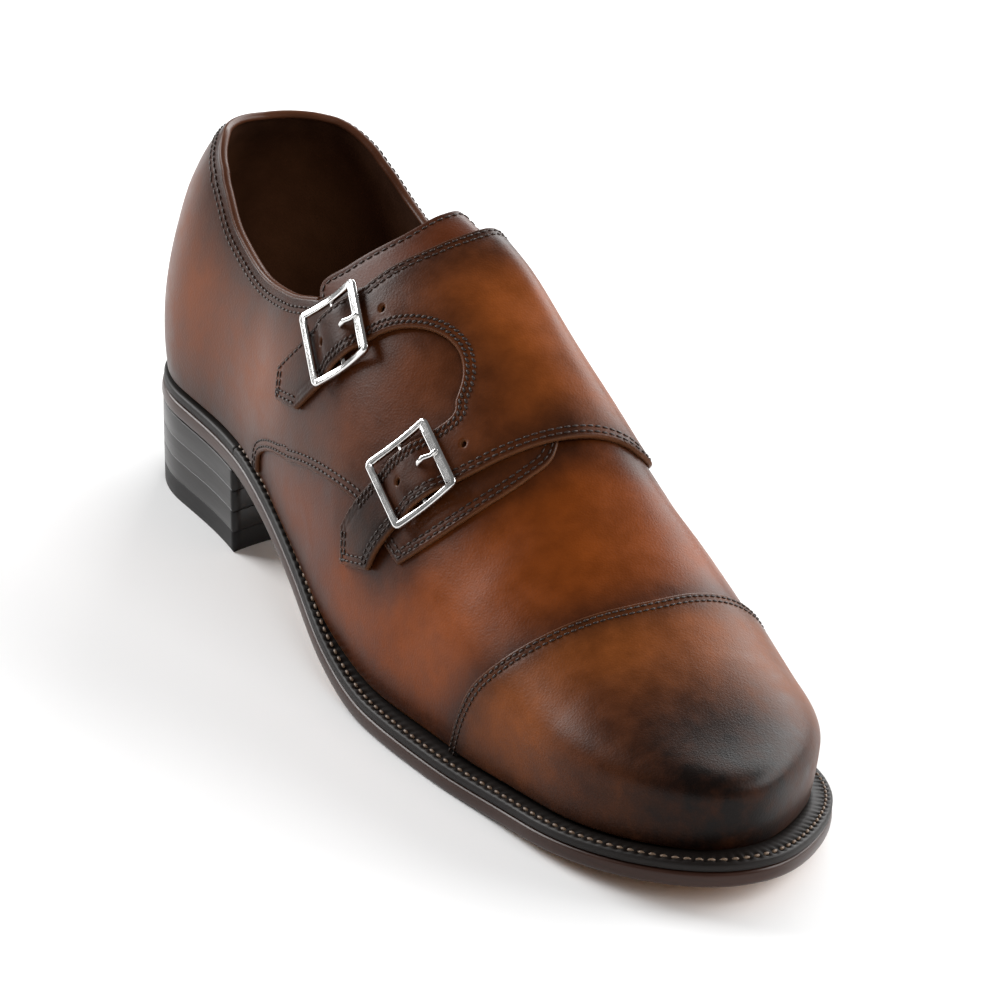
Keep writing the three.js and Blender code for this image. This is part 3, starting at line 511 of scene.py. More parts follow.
# Soft troughs and ridges that the leather keeps from the last and the straps, shared by all
# layers. Each runs between two places, with its half width and its depth in millimetres
creases = [
    {"start": (0.655, 0.55), "end": (0.668, 1.15), "width": 5.0, "depth": 0.35},
    {"start": (0.685, 0.45), "end": (0.700, 0.95), "width": 4.0, "depth": -0.22},
    {"start": (0.700, 0.60), "end": (0.712, 1.25), "width": 4.5, "depth": 0.25},
    {"start": (0.640, 1.20), "end": (0.690, 1.62), "width": 5.5, "depth": 0.40},
    {"start": (0.600, 0.16), "end": (0.655, 0.42), "width": 6.0, "depth": 0.40},
    {"start": (0.520, 0.20), "end": (0.590, 0.36), "width": 6.0, "depth": 0.30},
    {"start": (0.560, 1.45), "end": (0.520, 1.75), "width": 6.0, "depth": 0.45},
    {"start": (0.420, 0.20), "end": (0.470, 0.36), "width": 8.0, "depth": 0.35},
    {"start": (0.300, 0.30), "end": (0.240, 0.40), "width": 9.0, "depth": 0.40},
    {"start": (0.300, 1.70), "end": (0.240, 1.58), "width": 9.0, "depth": 0.45},
    {"start": (0.050, 0.30), "end": (0.090, 0.46), "width": 8.0, "depth": 0.35},
    {"start": (0.430, 1.20), "end": (0.520, 1.50), "width": 8.0, "depth": 0.35},
    {"start": (0.450, 0.90), "end": (0.470, 1.25), "width": 7.0, "depth": -0.25},
]
chart_scale = np.array([sole_length, 108.0])


def fading(distance, reach, power=2):
    """1 at no distance, falling softly to about a third at the reach."""
    return np.exp(-((distance / reach) ** power))


def crease_height(along, girth):
    """How far the creases move the leather out at each place."""
    place = np.stack([along, girth], -1) * chart_scale
    total = np.zeros(place.shape[:-1])
    for crease in creases:
        start, end = np.array(crease["start"]) * chart_scale, np.array(crease["end"]) * chart_scale
        way = end - start
        t = np.clip(((place - start) @ way) / (way @ way), 0, 1)
        off = np.linalg.norm(place - start - t[..., None] * way, axis=-1)
        along_crease = np.sin(np.clip(t, 0.02, 0.98) * np.pi) ** 0.6
        total -= crease["depth"] * along_crease * fading(off, crease["width"])
    return total


def on_last(place, height):
    """Points that lie a height over the last, creases included."""
    along, girth = place[:, 0], place[:, 1]
    out = last_directions(along, girth)[2]
    return last_point(along, girth) + out * (height + crease_height(along, girth))[:, None]


def smooth_run(run, spacing=1.2):
    """Places along a smooth curve through a run. Two or three places are joined straight."""
    run = np.array(run, float)
    padded = np.concatenate([run[:1], run, run[-1:]])
    made = []
    for i in range(len(run) - 1):
        between = run[i] + (run[i + 1] - run[i]) * np.linspace(0, 1, 17)[:, None]
        length = np.linalg.norm(np.diff(last_point(between[:, 0], between[:, 1]), axis=0), axis=-1).sum()
        count = max(2, 2 * int(math.ceil(length / spacing / 2)))
        t = (np.arange(count) / count)[:, None]
        if len(run) <= 3:
            made.append(run[i] + (run[i + 1] - run[i]) * t)
            continue
        a, b, c, d = padded[i : i + 4]
        leave, arrive = (c - a) / 2, (d - b) / 2
        cubic, square = 2 * b - 2 * c + leave + arrive, 3 * c - 3 * b - 2 * leave - arrive
        made.append(cubic * t**3 + square * t**2 + leave * t + b)
    return np.concatenate(made + [run[-1:]])


def closed_outline(runs):
    """One closed line of places from runs that follow one another."""
    return np.concatenate([smooth_run(run)[:-1] for run in runs])


def inside(places, outline):
    """Which places lie inside a closed outline."""
    within = np.zeros(len(places), bool)
    x, y = places[:, 0], places[:, 1]
    for (xa, ya), (xb, yb) in zip(outline, np.roll(outline, -1, 0)):
        if ya == yb:
            continue
        crossing = (ya > y) != (yb > y)
        within ^= crossing & (x < (xb - xa) * (y - ya) / (yb - ya) + xa)
    return within


def distance_to(points, starts, ends):
    """Shortest distance from each point to a set of short straight pieces."""
    nearest = np.full(len(points), 1e9)
    way = ends - starts
    length = np.maximum((way * way).sum(-1), 1e-12)
    for first in range(0, len(points), 1500):
        off = points[first : first + 1500, None] - starts
        t = np.clip((off * way).sum(-1) / length, 0, 1)
        nearest[first : first + 1500] = np.linalg.norm(off - t[..., None] * way, axis=-1).min(1)
    return nearest


def line_distance(points, line):
    """Distance from each point to a line of places on the last."""
    on_surface = last_point(line[:, 0], line[:, 1])
    return distance_to(points, on_surface[:-1], on_surface[1:])


def beside(line, distance, closed=False):
    """A line of places moved sideways over the leather, to the left of its direction."""
    along, girth = line[:, 0], line[:, 1]
    run, climb, out = last_directions(along, girth)
    points = last_point(along, girth)
    if closed:
        tangent = np.roll(points, -1, 0) - np.roll(points, 1, 0)
    else:
        tangent = np.gradient(points, axis=0)
    left = np.cross(out, tangent)
    left = left / np.maximum(np.linalg.norm(left, axis=-1, keepdims=True), 1e-9) * distance
    rr, rc, cc = (run * run).sum(-1), (run * climb).sum(-1), (climb * climb).sum(-1)
    rl, cl = (run * left).sum(-1), (climb * left).sum(-1)
    whole = np.maximum(rr * cc - rc * rc, 1e-9)
    return line + np.stack([(rl * cc - cl * rc) / whole, (cl * rr - rl * rc) / whole], -1)


def grid_of_places(spacing):
    """Even rows of places over the whole last, with fewer of them where the toe closes."""
    places = []
    body = np.arange(0.5, toe_from * sole_length / spacing) * spacing / sole_length
    toe_count = 88 / spacing
    for girth in np.arange(spacing / 2 / chart_scale[1], 2, spacing / chart_scale[1]):
        rise = min(girth, 2 - girth)
        turn = np.clip((rise - side_share) / (1 - side_share), 0, 1) * np.pi / 2
        count = max(2, int(round(toe_count * math.cos(turn))))
        toe = toe_from + (1 - toe_from) * (np.arange(count) + 0.5) / count
        row = np.concatenate([body[body < toe_from], toe])
        places.append(np.stack([row, np.full(len(row), girth)], -1))
    return np.concatenate(places)


def cut_panel(outline, holes, rings, spacing):
    """Lays out a panel: its outline, rings inside it and an even grid, joined by triangles."""
    area = np.cross(outline, np.roll(outline, -1, 0)).sum()
    if area < 0:
        outline = outline[::-1]
    points = last_point(outline[:, 0], outline[:, 1])
    next_place = np.roll(outline, -1, 0)
    welded = ((outline[:, 0] <= 0) & (next_place[:, 0] <= 0)) | (
        (outline[:, 0] >= 1) & (next_place[:, 0] >= 1)
    )
    starts, ends = points[~welded], np.roll(points, -1, 0)[~welded]
    for hole in holes:
        around = last_point(hole[:, 0], hole[:, 1])
        starts = np.concatenate([starts, around])
        ends = np.concatenate([ends, np.roll(around, -1, 0)])
    loose = [grid_of_places(spacing)]
    reach = [rings[-1] + 0.6 * spacing]
    free = ~(welded & np.roll(welded, 1))
    for distance in rings[1:]:
        loose.append(beside(outline, distance, closed=True)[free])
        reach.append(distance - 0.06)
        for hole in holes:
            if distance < 1.3:
                turning = np.sign(np.cross(hole, np.roll(hole, -1, 0)).sum())
                loose.append(beside(hole, -distance * turning, closed=True))
                reach.append(distance - 0.06)
    kept = []
    for places, least in zip(loose, reach):
        between_seams = (places[:, 0] > 0) & (places[:, 0] < 1)
        places = places[between_seams & inside(places, outline)]
        for hole in holes:
            places = places[~inside(places, hole)]
        far = distance_to(last_point(places[:, 0], places[:, 1]), starts, ends) > least
        kept.append(places[far])
    loops = [outline, *holes]
    edges = []
    pole = np.nonzero((outline[:, 0] >= 1) & (np.abs(outline[:, 1] - 1) < 1e-6))[0]
    if len(pole):
        # Every place on the ridge past toe_from is the same point: one straight fold joins them
        ridge_along = np.linspace(toe_from, 1, 12)[:-1]
        first = sum(len(loop) for loop in loops)
        last = first + len(ridge_along) - 1
        edges = [(i, i + 1) for i in range(first, last)] + [(last, int(pole[0]))]
        kept.insert(0, np.stack([ridge_along, np.ones(len(ridge_along))], -1))
    count = 0
    for loop in loops:
        edges += [(count + i, count + (i + 1) % len(loop)) for i in range(len(loop))]
        count += len(loop)
    chart = np.concatenate([*loops, *kept]) * chart_scale
    laid = delaunay_2d_cdt([Vector(p) for p in chart.tolist()], edges, [], 0, 1e-5)
    flat, triangles = laid[0], laid[2]
    places = np.array([tuple(p) for p in flat]) / chart_scale
    places[:, 0] = np.clip(places[:, 0], 0, 1)
    triangles = np.array([t for t in triangles if len(t) == 3])
    middles = places[triangles].mean(1)
    keep = inside(middles, outline)
    for hole in holes:
        keep &= ~inside(middles, hole)
    triangles = triangles[keep]
    near = distance_to(last_point(places[:, 0], places[:, 1]), starts, ends)
    return places, triangles, near


def rounded(distance, thickness):
    """Thickness of a cut edge that is rounded over with a bone."""
    t = np.clip(distance / 0.7, 0, 1)
    return thickness * (0.5 + 0.5 * np.sqrt(np.maximum(1 - (1 - t) ** 2, 0)))


def stitch_channel(distance, rows, depth=0.16):
    """The thread draws the leather in along each row."""
    return -depth * sum(fading(distance - row, 0.5) for row in rows)


def panel_piece(name, cut, low, high, materials, marks):
    """A panel of leather as a closed piece, from its cut places and the heights of its faces."""
    places, triangles, _ = cut
    count = len(places)
    points = np.concatenate([on_last(places, high), on_last(places, low)])
    edges = np.concatenate([triangles[:, pair] for pair in ([0, 1], [1, 2], [2, 0])])
    edges, times = np.unique(np.sort(edges, 1), axis=0, return_counts=True)
    rim = edges[times == 1]
    rim_along = places[rim][..., 0]
    at_seam = (rim_along <= 0).all(1) | (rim_along >= 1).all(1)
    walls = [(a, b, b + count, a + count) for a, b in rim[~at_seam]]
    faces = [tuple(t) for t in triangles] + [tuple(t[::-1] + count) for t in triangles] + walls
    kinds = [0] * len(triangles) + [len(materials) - 1] * len(triangles) + [0] * len(walls)
    doubled = {key: np.concatenate([values, values]) for key, values in marks.items()}
    return make_piece(name, points, faces, materials, kinds, doubled)


# The panels' edges, each a run of places
quarter_front = [[0.292, welt_line], [0.298, 0.09], [0.347, 0.205], [0.415, 0.32], [0.498, 0.413],
                 [0.54, 0.425], [0.585, 0.422]]
quarter_flap = [[0.585, 0.422], [0.6, 0.478], [0.613, 0.54], [0.624, 0.62], [0.631, 0.71],
                [0.632, 0.79], [0.626, 0.87], [0.6, 0.93]]
strap_u = [[0.383, 0.38], [0.408, 0.473], [0.443, 0.64], [0.475, 0.73], [0.503, 0.768], [0.525, 0.76],
           [0.54, 0.72], [0.547, 0.67], [0.51, 0.425], [0.5, 0.36]]
apron_front = [[0.552, 0.357], [0.567, 0.47], [0.597, 0.655], [0.607, 0.748], [0.615, 0.865], [0.62, 0.973],
               [0.623, 1.113], [0.625, 1.21]]
apron_side = [[0.625, 1.21], [0.615, 1.33], [0.58, 1.46], [0.5, 1.6], [0.42, 1.72], [0.36, 1.84],
              [0.33, 2 - welt_line]]
apron_top = [[0.385, 1.3], [0.41, 1.15], [0.42, 0.975], [0.418, 0.875], [0.412, 0.797], [0.397, 0.66]]
cap_seam = [[0.7, welt_line], [0.712, 0.185], [0.725, 0.315], [0.743, 0.458], [0.757, 0.625], [0.765, 0.82],
            [0.767, 0.955], [0.763, 1.107], [0.757, 1.288], [0.752, 1.44], [0.742, 1.6], [0.73, 1.78],
            [0.722, 2 - welt_line]]

# Where the dark wax lies, and the painted shade on the vamp in front of the apron's front edge: beside each
# of these lines, with its strength and reach
wax_and_shade_lines = [
    (smooth_run(cap_seam, 3), 0.70, 7.0),
    # The apron's front edge: dark wax on the apron, painted shade on the vamp in front of it
    (smooth_run(apron_front, 3), 0.66, 8.0),
    (smooth_run(apron_side, 3), 0.66, 8.0),
    (smooth_run(apron_top, 3), 0.72, 12.0),
    (smooth_run(quarter_front, 3), 0.45, 8.0),
    (smooth_run(quarter_flap, 3), 0.50, 6.0),
    (smooth_run(strap_u, 3), 0.50, 9.0),
    (smooth_run(collar_outer, 3), 0.80, 12.0),
    (smooth_run(collar_inner, 3), 0.80, 12.0),
    (smooth_run([[0, welt_line], [0, 0.655]], 3), 0.55, 9.0),
]
toe_tip = last_point(np.array([1.0]), np.array([0.45]))[0]
tip_reach = 43.0


def wax_and_shade_of(points, girth):
    """How dark each point is made, from 0 to 1: dark wax beside the lines and at the toe, with painted
    shade in front of the apron's front edge and along the welt.
    """
    clean = np.ones(len(points))
    for line, strength, reach in wax_and_shade_lines:
        clean *= 1 - strength * fading(line_distance(points, line), reach)
    # Painted shade: the bottom of the upper is darkened along the welt on both sides
    clean *= 1 - 0.75 * fading(np.minimum(girth, 2 - girth), 0.10)
    clean *= 1 - 0.97 * fading(np.linalg.norm(points - toe_tip, axis=-1), tip_reach, power=3)
    return 1 - clean


# Where the dye was rubbed back to a warm glow: place, reach in millimetres and strength
glowing_patches = [
    ((0.66, 0.52), 28.0, 0.90),
    ((0.70, 0.80), 26.0, 0.80),
    ((0.66, 1.25), 26.0, 0.90),
    ((0.63, 0.30), 20.0, 0.70),
    ((0.52, 0.20), 16.0, 0.60),
    ((0.69, 1.10), 24.0, 0.70),
    ((0.66, 1.50), 30.0, 0.80),
    ((0.79, 0.40), 17.0, 0.80),
    ((0.81, 0.90), 18.0, 0.85),
    ((0.82, 1.30), 22.0, 0.85),
    ((0.51, 1.00), 24.0, 0.95),
    ((0.55, 1.15), 24.0, 0.85),
    ((0.49, 0.66), 10.0, 0.40),
    ((0.28, 0.27), 24.0, 0.75),
    ((0.13, 0.34), 20.0, 0.70),
    ((0.45, 1.55), 28.0, 0.80),
    ((0.22, 1.68), 28.0, 0.80),
    ((0.08, 1.70), 20.0, 0.60),
]


def glow_of(points):
    """How warm the dye is at each point, from 0 to 1."""
    dull = np.ones(len(points))
    for place, reach, strength in glowing_patches:
        middle = last_point(np.array([place[0]]), np.array([place[1]]))[0]
        dull *= 1 - strength * fading(np.linalg.norm(points - middle, axis=-1), reach)
    return 1 - dull


def edge_highlight_of(cut):
    """How strongly the painted highlight along the cut edge shows at each place of a panel."""
    return 0.8 * fading(cut[2], 0.3)


def marks_of(cut, extra=0.0):
    """The numbers that colour a panel's leather, with extra wax where it is asked for."""
    points = last_point(cut[0][:, 0], cut[0][:, 1])
    wax_and_shade = np.clip(wax_and_shade_of(points, cut[0][:, 1]) + extra, 0, 1)
    return {"wax_and_shade": wax_and_shade, "glow": glow_of(points), "edge_highlight": edge_highlight_of(cut)}


cognac_light = (0.215, 0.046, 0.0030)
cognac_middle = (0.070, 0.0132, 0.0015)
burnt_brown = (0.0120, 0.0040, 0.0018)
vamp_leather = leather("cognac calf", cognac_light, cognac_middle, burnt_brown, 0.38)
lining_leather = leather(
    "lining leather", (0.11, 0.045, 0.02), (0.07, 0.026, 0.012), (0.03, 0.012, 0.006), 0.55, coat=0.0
)

upper_outline = closed_outline([
    [[0, 0], [1, 0]],
    [[1, 0], [1, 2]],
    [[1, 2], [0, 2]],
    [[0, 2], [0, 1.345]],
    collar_inner[::-1],
    throat[::-1],
    collar_outer[::-1],
    [[0, 0.655], [0, 0]],
])
upper_cut = cut_panel(upper_outline, [], [0, 0.4, 1.0, 2.0], 2.2)
upper_points = last_point(upper_cut[0][:, 0], upper_cut[0][:, 1])
opening_line = np.concatenate([smooth_run(run) for run in (collar_outer, throat, collar_inner)])
upper = panel_piece(
    "vamp_and_lining",
    upper_cut,
    -upper_wall + 0.7 * fading(line_distance(upper_points, opening_line), 4.0),
    np.zeros(len(upper_cut[0])),
    [vamp_leather, lining_leather],
    marks_of(upper_cut),
)
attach(upper, "root")
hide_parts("upper")

# Toe cap
# A cap of the same calf laid over the front of the vamp. Its back edge is cut clean and
# stitched down with two rows; the tip is burnished almost black.
cap_thickness = 1.3
cap_rows = (1.3, 2.9)
cement = 0.05
cement_below = 0.03
fine_rings = [0, 0.12, 0.3, 0.6, 1.0]


def rings_for(rows, last):
    """Distances from a panel's edge at which its mesh has rings, close together at the rows."""
    near_rows = [row + step for row in rows for step in (-0.5, 0.0, 0.5)]
    return sorted(set(fine_rings + near_rows + [last]))


cap_outline = closed_outline([
    cap_seam,
    [[0.722, 2 - welt_line], [1, 2 - welt_line]],
    [[1, 2 - welt_line], [1, welt_line]],
    [[1, welt_line], [0.7, welt_line]],
])
cap_leather = leather(
    "cap calf", (0.250, 0.065, 0.0090), (0.072, 0.0170, 0.0030), (0.0050, 0.0022, 0.0014), 0.40, coat=0.03
)
cap_cut = cut_panel(cap_outline, [], rings_for(cap_rows, 5.0), 1.7)
seam_distance = line_distance(last_point(cap_cut[0][:, 0], cap_cut[0][:, 1]), smooth_run(cap_seam))
cap_high = cement + rounded(cap_cut[2], cap_thickness) + stitch_channel(seam_distance, cap_rows)
cap_low = np.full(len(cap_cut[0]), cement_below)
cap = panel_piece("cap_of_toe", cap_cut, cap_low, cap_high, [cap_leather], marks_of(cap_cut))
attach(cap, "root")
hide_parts("toe_cap")

# Outer quarter
# The outer side of the shoe from the back seam to the flap below the lower strap, a single
# layer of calf stitched over the vamp. Its top edge runs on below the apron.
quarter_rows = (1.4, 3.1)
quarter_top = [[0.6, 0.93], [0.56, 0.92], [0.5, 0.83], [0.46, 0.77], [0.4, 0.68], [0.348, 0.555]]
quarter_runs = [
    [[backseam, welt_line], [0.292, welt_line]],
    quarter_front,
    quarter_flap,
    quarter_top,
    [*collar_outer[:0:-1], [backseam, 0.655]],
    [[backseam, 0.655], [backseam, welt_line]],
]
quarter_outline = closed_outline(quarter_runs)
quarter_cut = cut_panel(quarter_outline, [], rings_for(quarter_rows, 5.0), 1.9)
quarter_points = last_point(quarter_cut[0][:, 0], quarter_cut[0][:, 1])
quarter_seam = np.concatenate([smooth_run(quarter_front)[:-1], smooth_run(quarter_flap)])
quarter_to_collar = line_distance(quarter_points, smooth_run(collar_outer))
collar_rows = (2.6, 4.2)
collar_skive = 0.45
quarter_high = (
    cement
    + rounded(quarter_cut[2], leather_thickness)
    + stitch_channel(line_distance(quarter_points, quarter_seam), quarter_rows)
    + stitch_channel(quarter_to_collar, collar_rows, 0.12)
    - collar_skive * fading(quarter_to_collar, 2.5)
)
quarter_leather = leather(
    "outer calf", (0.170, 0.040, 0.0048), (0.060, 0.0135, 0.0024), burnt_brown, 0.38
)
quarter = panel_piece(
    "outer_side_panel",
    quarter_cut,
    np.full(len(quarter_cut[0]), cement_below),
    quarter_high,
    [quarter_leather],
    marks_of(quarter_cut),
)
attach(quarter, "root")
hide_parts("outer_quarter")

# Tongue
# A lighter tan flap below the apron, lined and stitched round its free top edge. It closes
# the throat of the upper and rests on the instep.
tongue_thickness = 1.5
tongue_run = [[0.34, 0.53], [0.327, 0.57], [0.35, 0.66], [0.375, 0.81], [0.377, 0.953], [0.372, 1.08],
              [0.372, 1.16], [0.39, 1.225]]
tongue_outline = closed_outline([
    tongue_run,
    [[0.39, 1.225], [0.45, 1.2], [0.55, 1.12], [0.6, 1.0]],
    [[0.6, 1.0], [0.585, 0.85], [0.5, 0.7], [0.42, 0.6], [0.34, 0.53]],
])
tongue_row = 2.0
tongue_cut = cut_panel(tongue_outline, [], rings_for((tongue_row,), 3.5), 2.0)
tongue_base = -upper_wall - clearance - tongue_thickness
tongue_high = tongue_base + cement + rounded(tongue_cut[2], tongue_thickness)
tongue_high += stitch_channel(tongue_cut[2], (tongue_row,))
tongue_leather = leather(
    "tongue calf", (0.095, 0.019, 0.0018), (0.056, 0.011, 0.0012), (0.014, 0.005, 0.002), 0.42
)
tongue = panel_piece(
    "instep_tongue",
    tongue_cut,
    np.full(len(tongue_cut[0]), tongue_base),
    tongue_high,
    [tongue_leather, lining_leather],
    {
        "wax_and_shade": 0.6 * fading(tongue_cut[2], 4.0),
        "glow": np.full(len(tongue_cut[0]), 0.7),
        "edge_highlight": edge_highlight_of(tongue_cut),
    },
)
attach(tongue, "root")
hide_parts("tongue")

# Inner quarter, apron and straps
# One piece of calf: it rises from the inner side over the instep as an apron and ends in two
# pointed straps that buckle on the outer side, with a rounded cut between them.
strap_thickness = 1.6
center_bar = 1.6
hole_radius = 0.8
buckles = {
    "upper": {"middle": (0.401, 0.562), "rear": (0.3815, 0.4875), "front": (0.42, 0.636)},
    "lower": {"middle": (0.5555, 0.568), "rear": (0.5415, 0.482), "front": (0.569, 0.6545)},
}
strap_holes = {"upper": (-4.6, 15.2), "lower": (-3.6, 15.6)}
prong_slot = 3.2

for buckle in buckles.values():
    corners = np.array([buckle["rear"], buckle["front"], buckle["middle"]])
    rear, front, middle = last_point(corners[:, 0], corners[:, 1])
    out = last_directions(corners[2:, 0], corners[2:, 1])[2][0]
    strap_way = (front - rear) / np.linalg.norm(front - rear)
    across = np.cross(out, strap_way)
    across /= np.linalg.norm(across)
    buckle["origin"] = middle
    buckle["axes"] = np.stack([strap_way, across, np.cross(strap_way, across)])


def in_buckle(buckle, points):
    """Points in a buckle's axes: along its strap, across it and outwards."""
    return (points - buckle["origin"]) @ buckle["axes"].T


def circle_on_strap(buckle, offset, radius):
    """A round hole through a strap, that far from the middle of its buckle."""
    rear, front = np.array(buckle["rear"]), np.array(buckle["front"])
    middle = np.array(buckle["middle"])
    ends = last_point(np.array([rear[0], front[0]]), np.array([rear[1], front[1]]))
    step = (front - rear) / np.linalg.norm(ends[1] - ends[0])
    run, climb, _ = last_directions(middle[:1], middle[1:])
    size = 1 / np.array([np.linalg.norm(run[0]), np.linalg.norm(climb[0])])
    turns = np.linspace(0, 2 * np.pi, 14, endpoint=False)
    return middle + step * offset + np.stack([np.cos(turns), np.sin(turns)], -1) * radius * size


apron_back = [[backseam, 1.345], [0.06, 1.335], [0.09, 1.345], [0.14, 1.42], [0.182, 1.48], [0.243, 1.51],
              [0.303, 1.47], [0.348, 1.4]]
upper_tip = [[0.397, 0.66], [0.379, 0.57], [0.358, 0.475], [0.333, 0.388]]
upper_point = [[0.333, 0.388], [0.342, 0.333], [0.383, 0.38]]
lower_point = [[0.5, 0.36], [0.508, 0.295], [0.552, 0.357]]
apron_outline = closed_outline([
    [*apron_back, *apron_top],
    upper_tip,
    upper_point,
    strap_u,
    lower_point,
    apron_front,
    apron_side,
    [[0.33, 2 - welt_line], [backseam, 2 - welt_line]],
    [[backseam, 2 - welt_line], [backseam, 1.345]],
])
apron_holes = [
    circle_on_strap(buckles[name], offset, hole_radius)
    for name, offsets in strap_holes.items()
    for offset in offsets
]
apron_cut = cut_panel(apron_outline, apron_holes, rings_for((1.4, 3.0), 4.5), 1.9)
apron_points = last_point(apron_cut[0][:, 0], apron_cut[0][:, 1])
skived_reach = 16.0
over_gap = 0.35
# In a buckle's axes the straps lie within these, and the inner side of the shoe lies below
strap_end = 30
strap_depth = -20


def over_quarter(places):
    """1 where the outer quarter lies below, 0 away from it, with a soft slope between."""
    points = last_point(places[:, 0], places[:, 1])
    rim = last_point(quarter_outline[:, 0], quarter_outline[:, 1])
    off = distance_to(points, rim, np.roll(rim, -1, 0))
    signed = np.where(inside(places, quarter_outline), off, -off)
    t = np.clip((signed + skived_reach) / (skived_reach + 0.5), 0, 1)
    front = np.clip((places[:, 0] - 0.24) / 0.08, 0, 1)
    return t * t * (3 - 2 * t) * front * front * (3 - 2 * front)


def bar_rise(points):
    """How far a strap rises over the centre bar below it."""
    rise = np.zeros(len(points))
    for buckle in buckles.values():
        local = in_buckle(buckle, points)
        near = (np.abs(local[:, 1]) < 12) & (np.abs(local[:, 0]) < strap_end) & (local[:, 2] > strap_depth)
        rise += near * (center_bar + 0.2) * fading(local[:, 0], 6.0, power=4)
    return rise


def apron_base(places):
    """Height over the last at which the apron and its straps lie."""
    points = last_point(places[:, 0], places[:, 1])
    return cement + (leather_thickness + over_gap) * over_quarter(places) + bar_rise(points)


apron_edge = smooth_run([*apron_back, *apron_top])
strap_tips = [smooth_run(upper_point), smooth_run(lower_point)]
double_lines = [smooth_run(apron_front), apron_edge, smooth_run(strap_u), *strap_tips]
single_lines = [smooth_run(upper_tip), smooth_run(apron_side)]
strap_rows = (1.4, 3.0)
apron_low = apron_base(apron_cut[0])
apron_high = apron_low + rounded(apron_cut[2], strap_thickness)
for line in double_lines:
    apron_high += stitch_channel(line_distance(apron_points, line), strap_rows)
for line in single_lines:
    apron_high += stitch_channel(line_distance(apron_points, line), strap_rows[:1])
apron_high -= collar_skive * fading(line_distance(apron_points, smooth_run(apron_back)), 2.5)
strap_reach = np.zeros(len(apron_points))
for buckle in buckles.values():
    local = in_buckle(buckle, apron_points)
    on_strap = (np.abs(local[:, 1]) < 14) & (local[:, 0] > -strap_end) & (local[:, 2] > strap_depth)
    strap_reach = np.maximum(strap_reach, on_strap * np.clip((13 - local[:, 0]) / 14, 0, 1))
apron_leather = leather("strap calf", (0.240, 0.058, 0.0080), (0.026, 0.0052, 0.0009), burnt_brown, 0.38)
apron_marks = marks_of(apron_cut, 0.25 * strap_reach)
apron = panel_piece("apron_and_straps", apron_cut, apron_low, apron_high, [apron_leather], apron_marks)
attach(apron, "root")
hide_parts("inner_quarter_with_straps")

# Rolled collar
# The quarters' top edge is skived thin and turned over the lining, which leaves a narrow
# round bead along the opening. It is glued and held by the two rows below it.
bead_half_height = 1.25
bead_half_width = 0.85
bead_middle = -0.3
bead_sides = 12
outer_top, inner_top = smooth_run(collar_outer)[::-1], smooth_run(collar_inner)[::-1]
collar_line = np.concatenate([outer_top[:-1], inner_top[:1], inner_top[2:]])


def end_faces(rings, sides):
    """The two faces that close a wall of rings."""
    return [tuple(range(sides)), tuple(range((rings - 1) * sides, rings * sides))]


def tube_on_leather(line, heights, half_height, half_width, sides):
    """A bead laid on the leather along a line, closed at both ends."""
    run, climb, out = last_directions(line[:, 0], line[:, 1])
    middle = on_last(line, heights)
    tangent = np.gradient(middle, axis=0)
    across = np.cross(out, tangent)
    across /= np.linalg.norm(across, axis=-1, keepdims=True)
    turns = np.linspace(0, 2 * np.pi, sides, endpoint=False)
    rings = [middle + out * half_height * math.sin(t) + across * half_width * math.cos(t) for t in turns]
    return np.stack(rings, 1).reshape(-1, 3), wall_faces(len(line), sides) + end_faces(len(line), sides)


bead_points, bead_faces = tube_on_leather(
    collar_line, np.full(len(collar_line), bead_middle), bead_half_height, bead_half_width, bead_sides
)
bead_leather = leather(
    "bead leather", (0.10, 0.035, 0.014), (0.06, 0.02, 0.009), (0.02, 0.008, 0.005), 0.36
)
collar_bead = make_piece("collar_bead", bead_points, bead_faces, [bead_leather])
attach(collar_bead, "root")

# Welt
# A strip of waxed leather sewn round the forefoot to the upper and the insole, from breast
# to breast. A heated wheel presses notches in its top, between the stitches.
welt_top = 2.9
notch_pitch = 3.0
notch_depth = 0.6
heel_share = heel_length / sole_length


def edge_places(end, side, through, spacing):
    """Places round the sole's edge, even in length, from one side through 1, the toe, or 0, the heel."""
    fine = 1500
    first = np.linspace(end, through, fine)
    along = np.concatenate([first, first[-2::-1]])
    sides = np.concatenate([np.full(fine, side), np.full(fine - 1, -side)]).astype(float)
    station, x = sole_edge(along, sides)
    length = np.concatenate([[0], np.cumsum(np.hypot(np.diff(station), np.diff(x)))])
    even = np.linspace(0, length[-1], int(length[-1] / spacing))
    position = np.interp(even, length, np.arange(len(length)))
    index = np.clip(np.round(position).astype(int), 0, len(along) - 1)
    return along[index], sides[index], even


def strip_round_sole(places, profile):
    """A closed strip swept round the sole's edge. profile gives (inset, height) at each place."""
    along, sides, _ = places
    rings = []
    for inset, height in profile:
        station, x, from_station = inset_edge(along, sides, inset)
        z = underside_height(from_station) + outsole_thickness + height
        rings.append(np.stack([x, sole_length / 2 - station, z], -1))
    faces = wall_faces(len(along), len(rings)) + end_faces(len(along), len(rings))
    return np.stack(rings, 1).reshape(-1, 3), faces


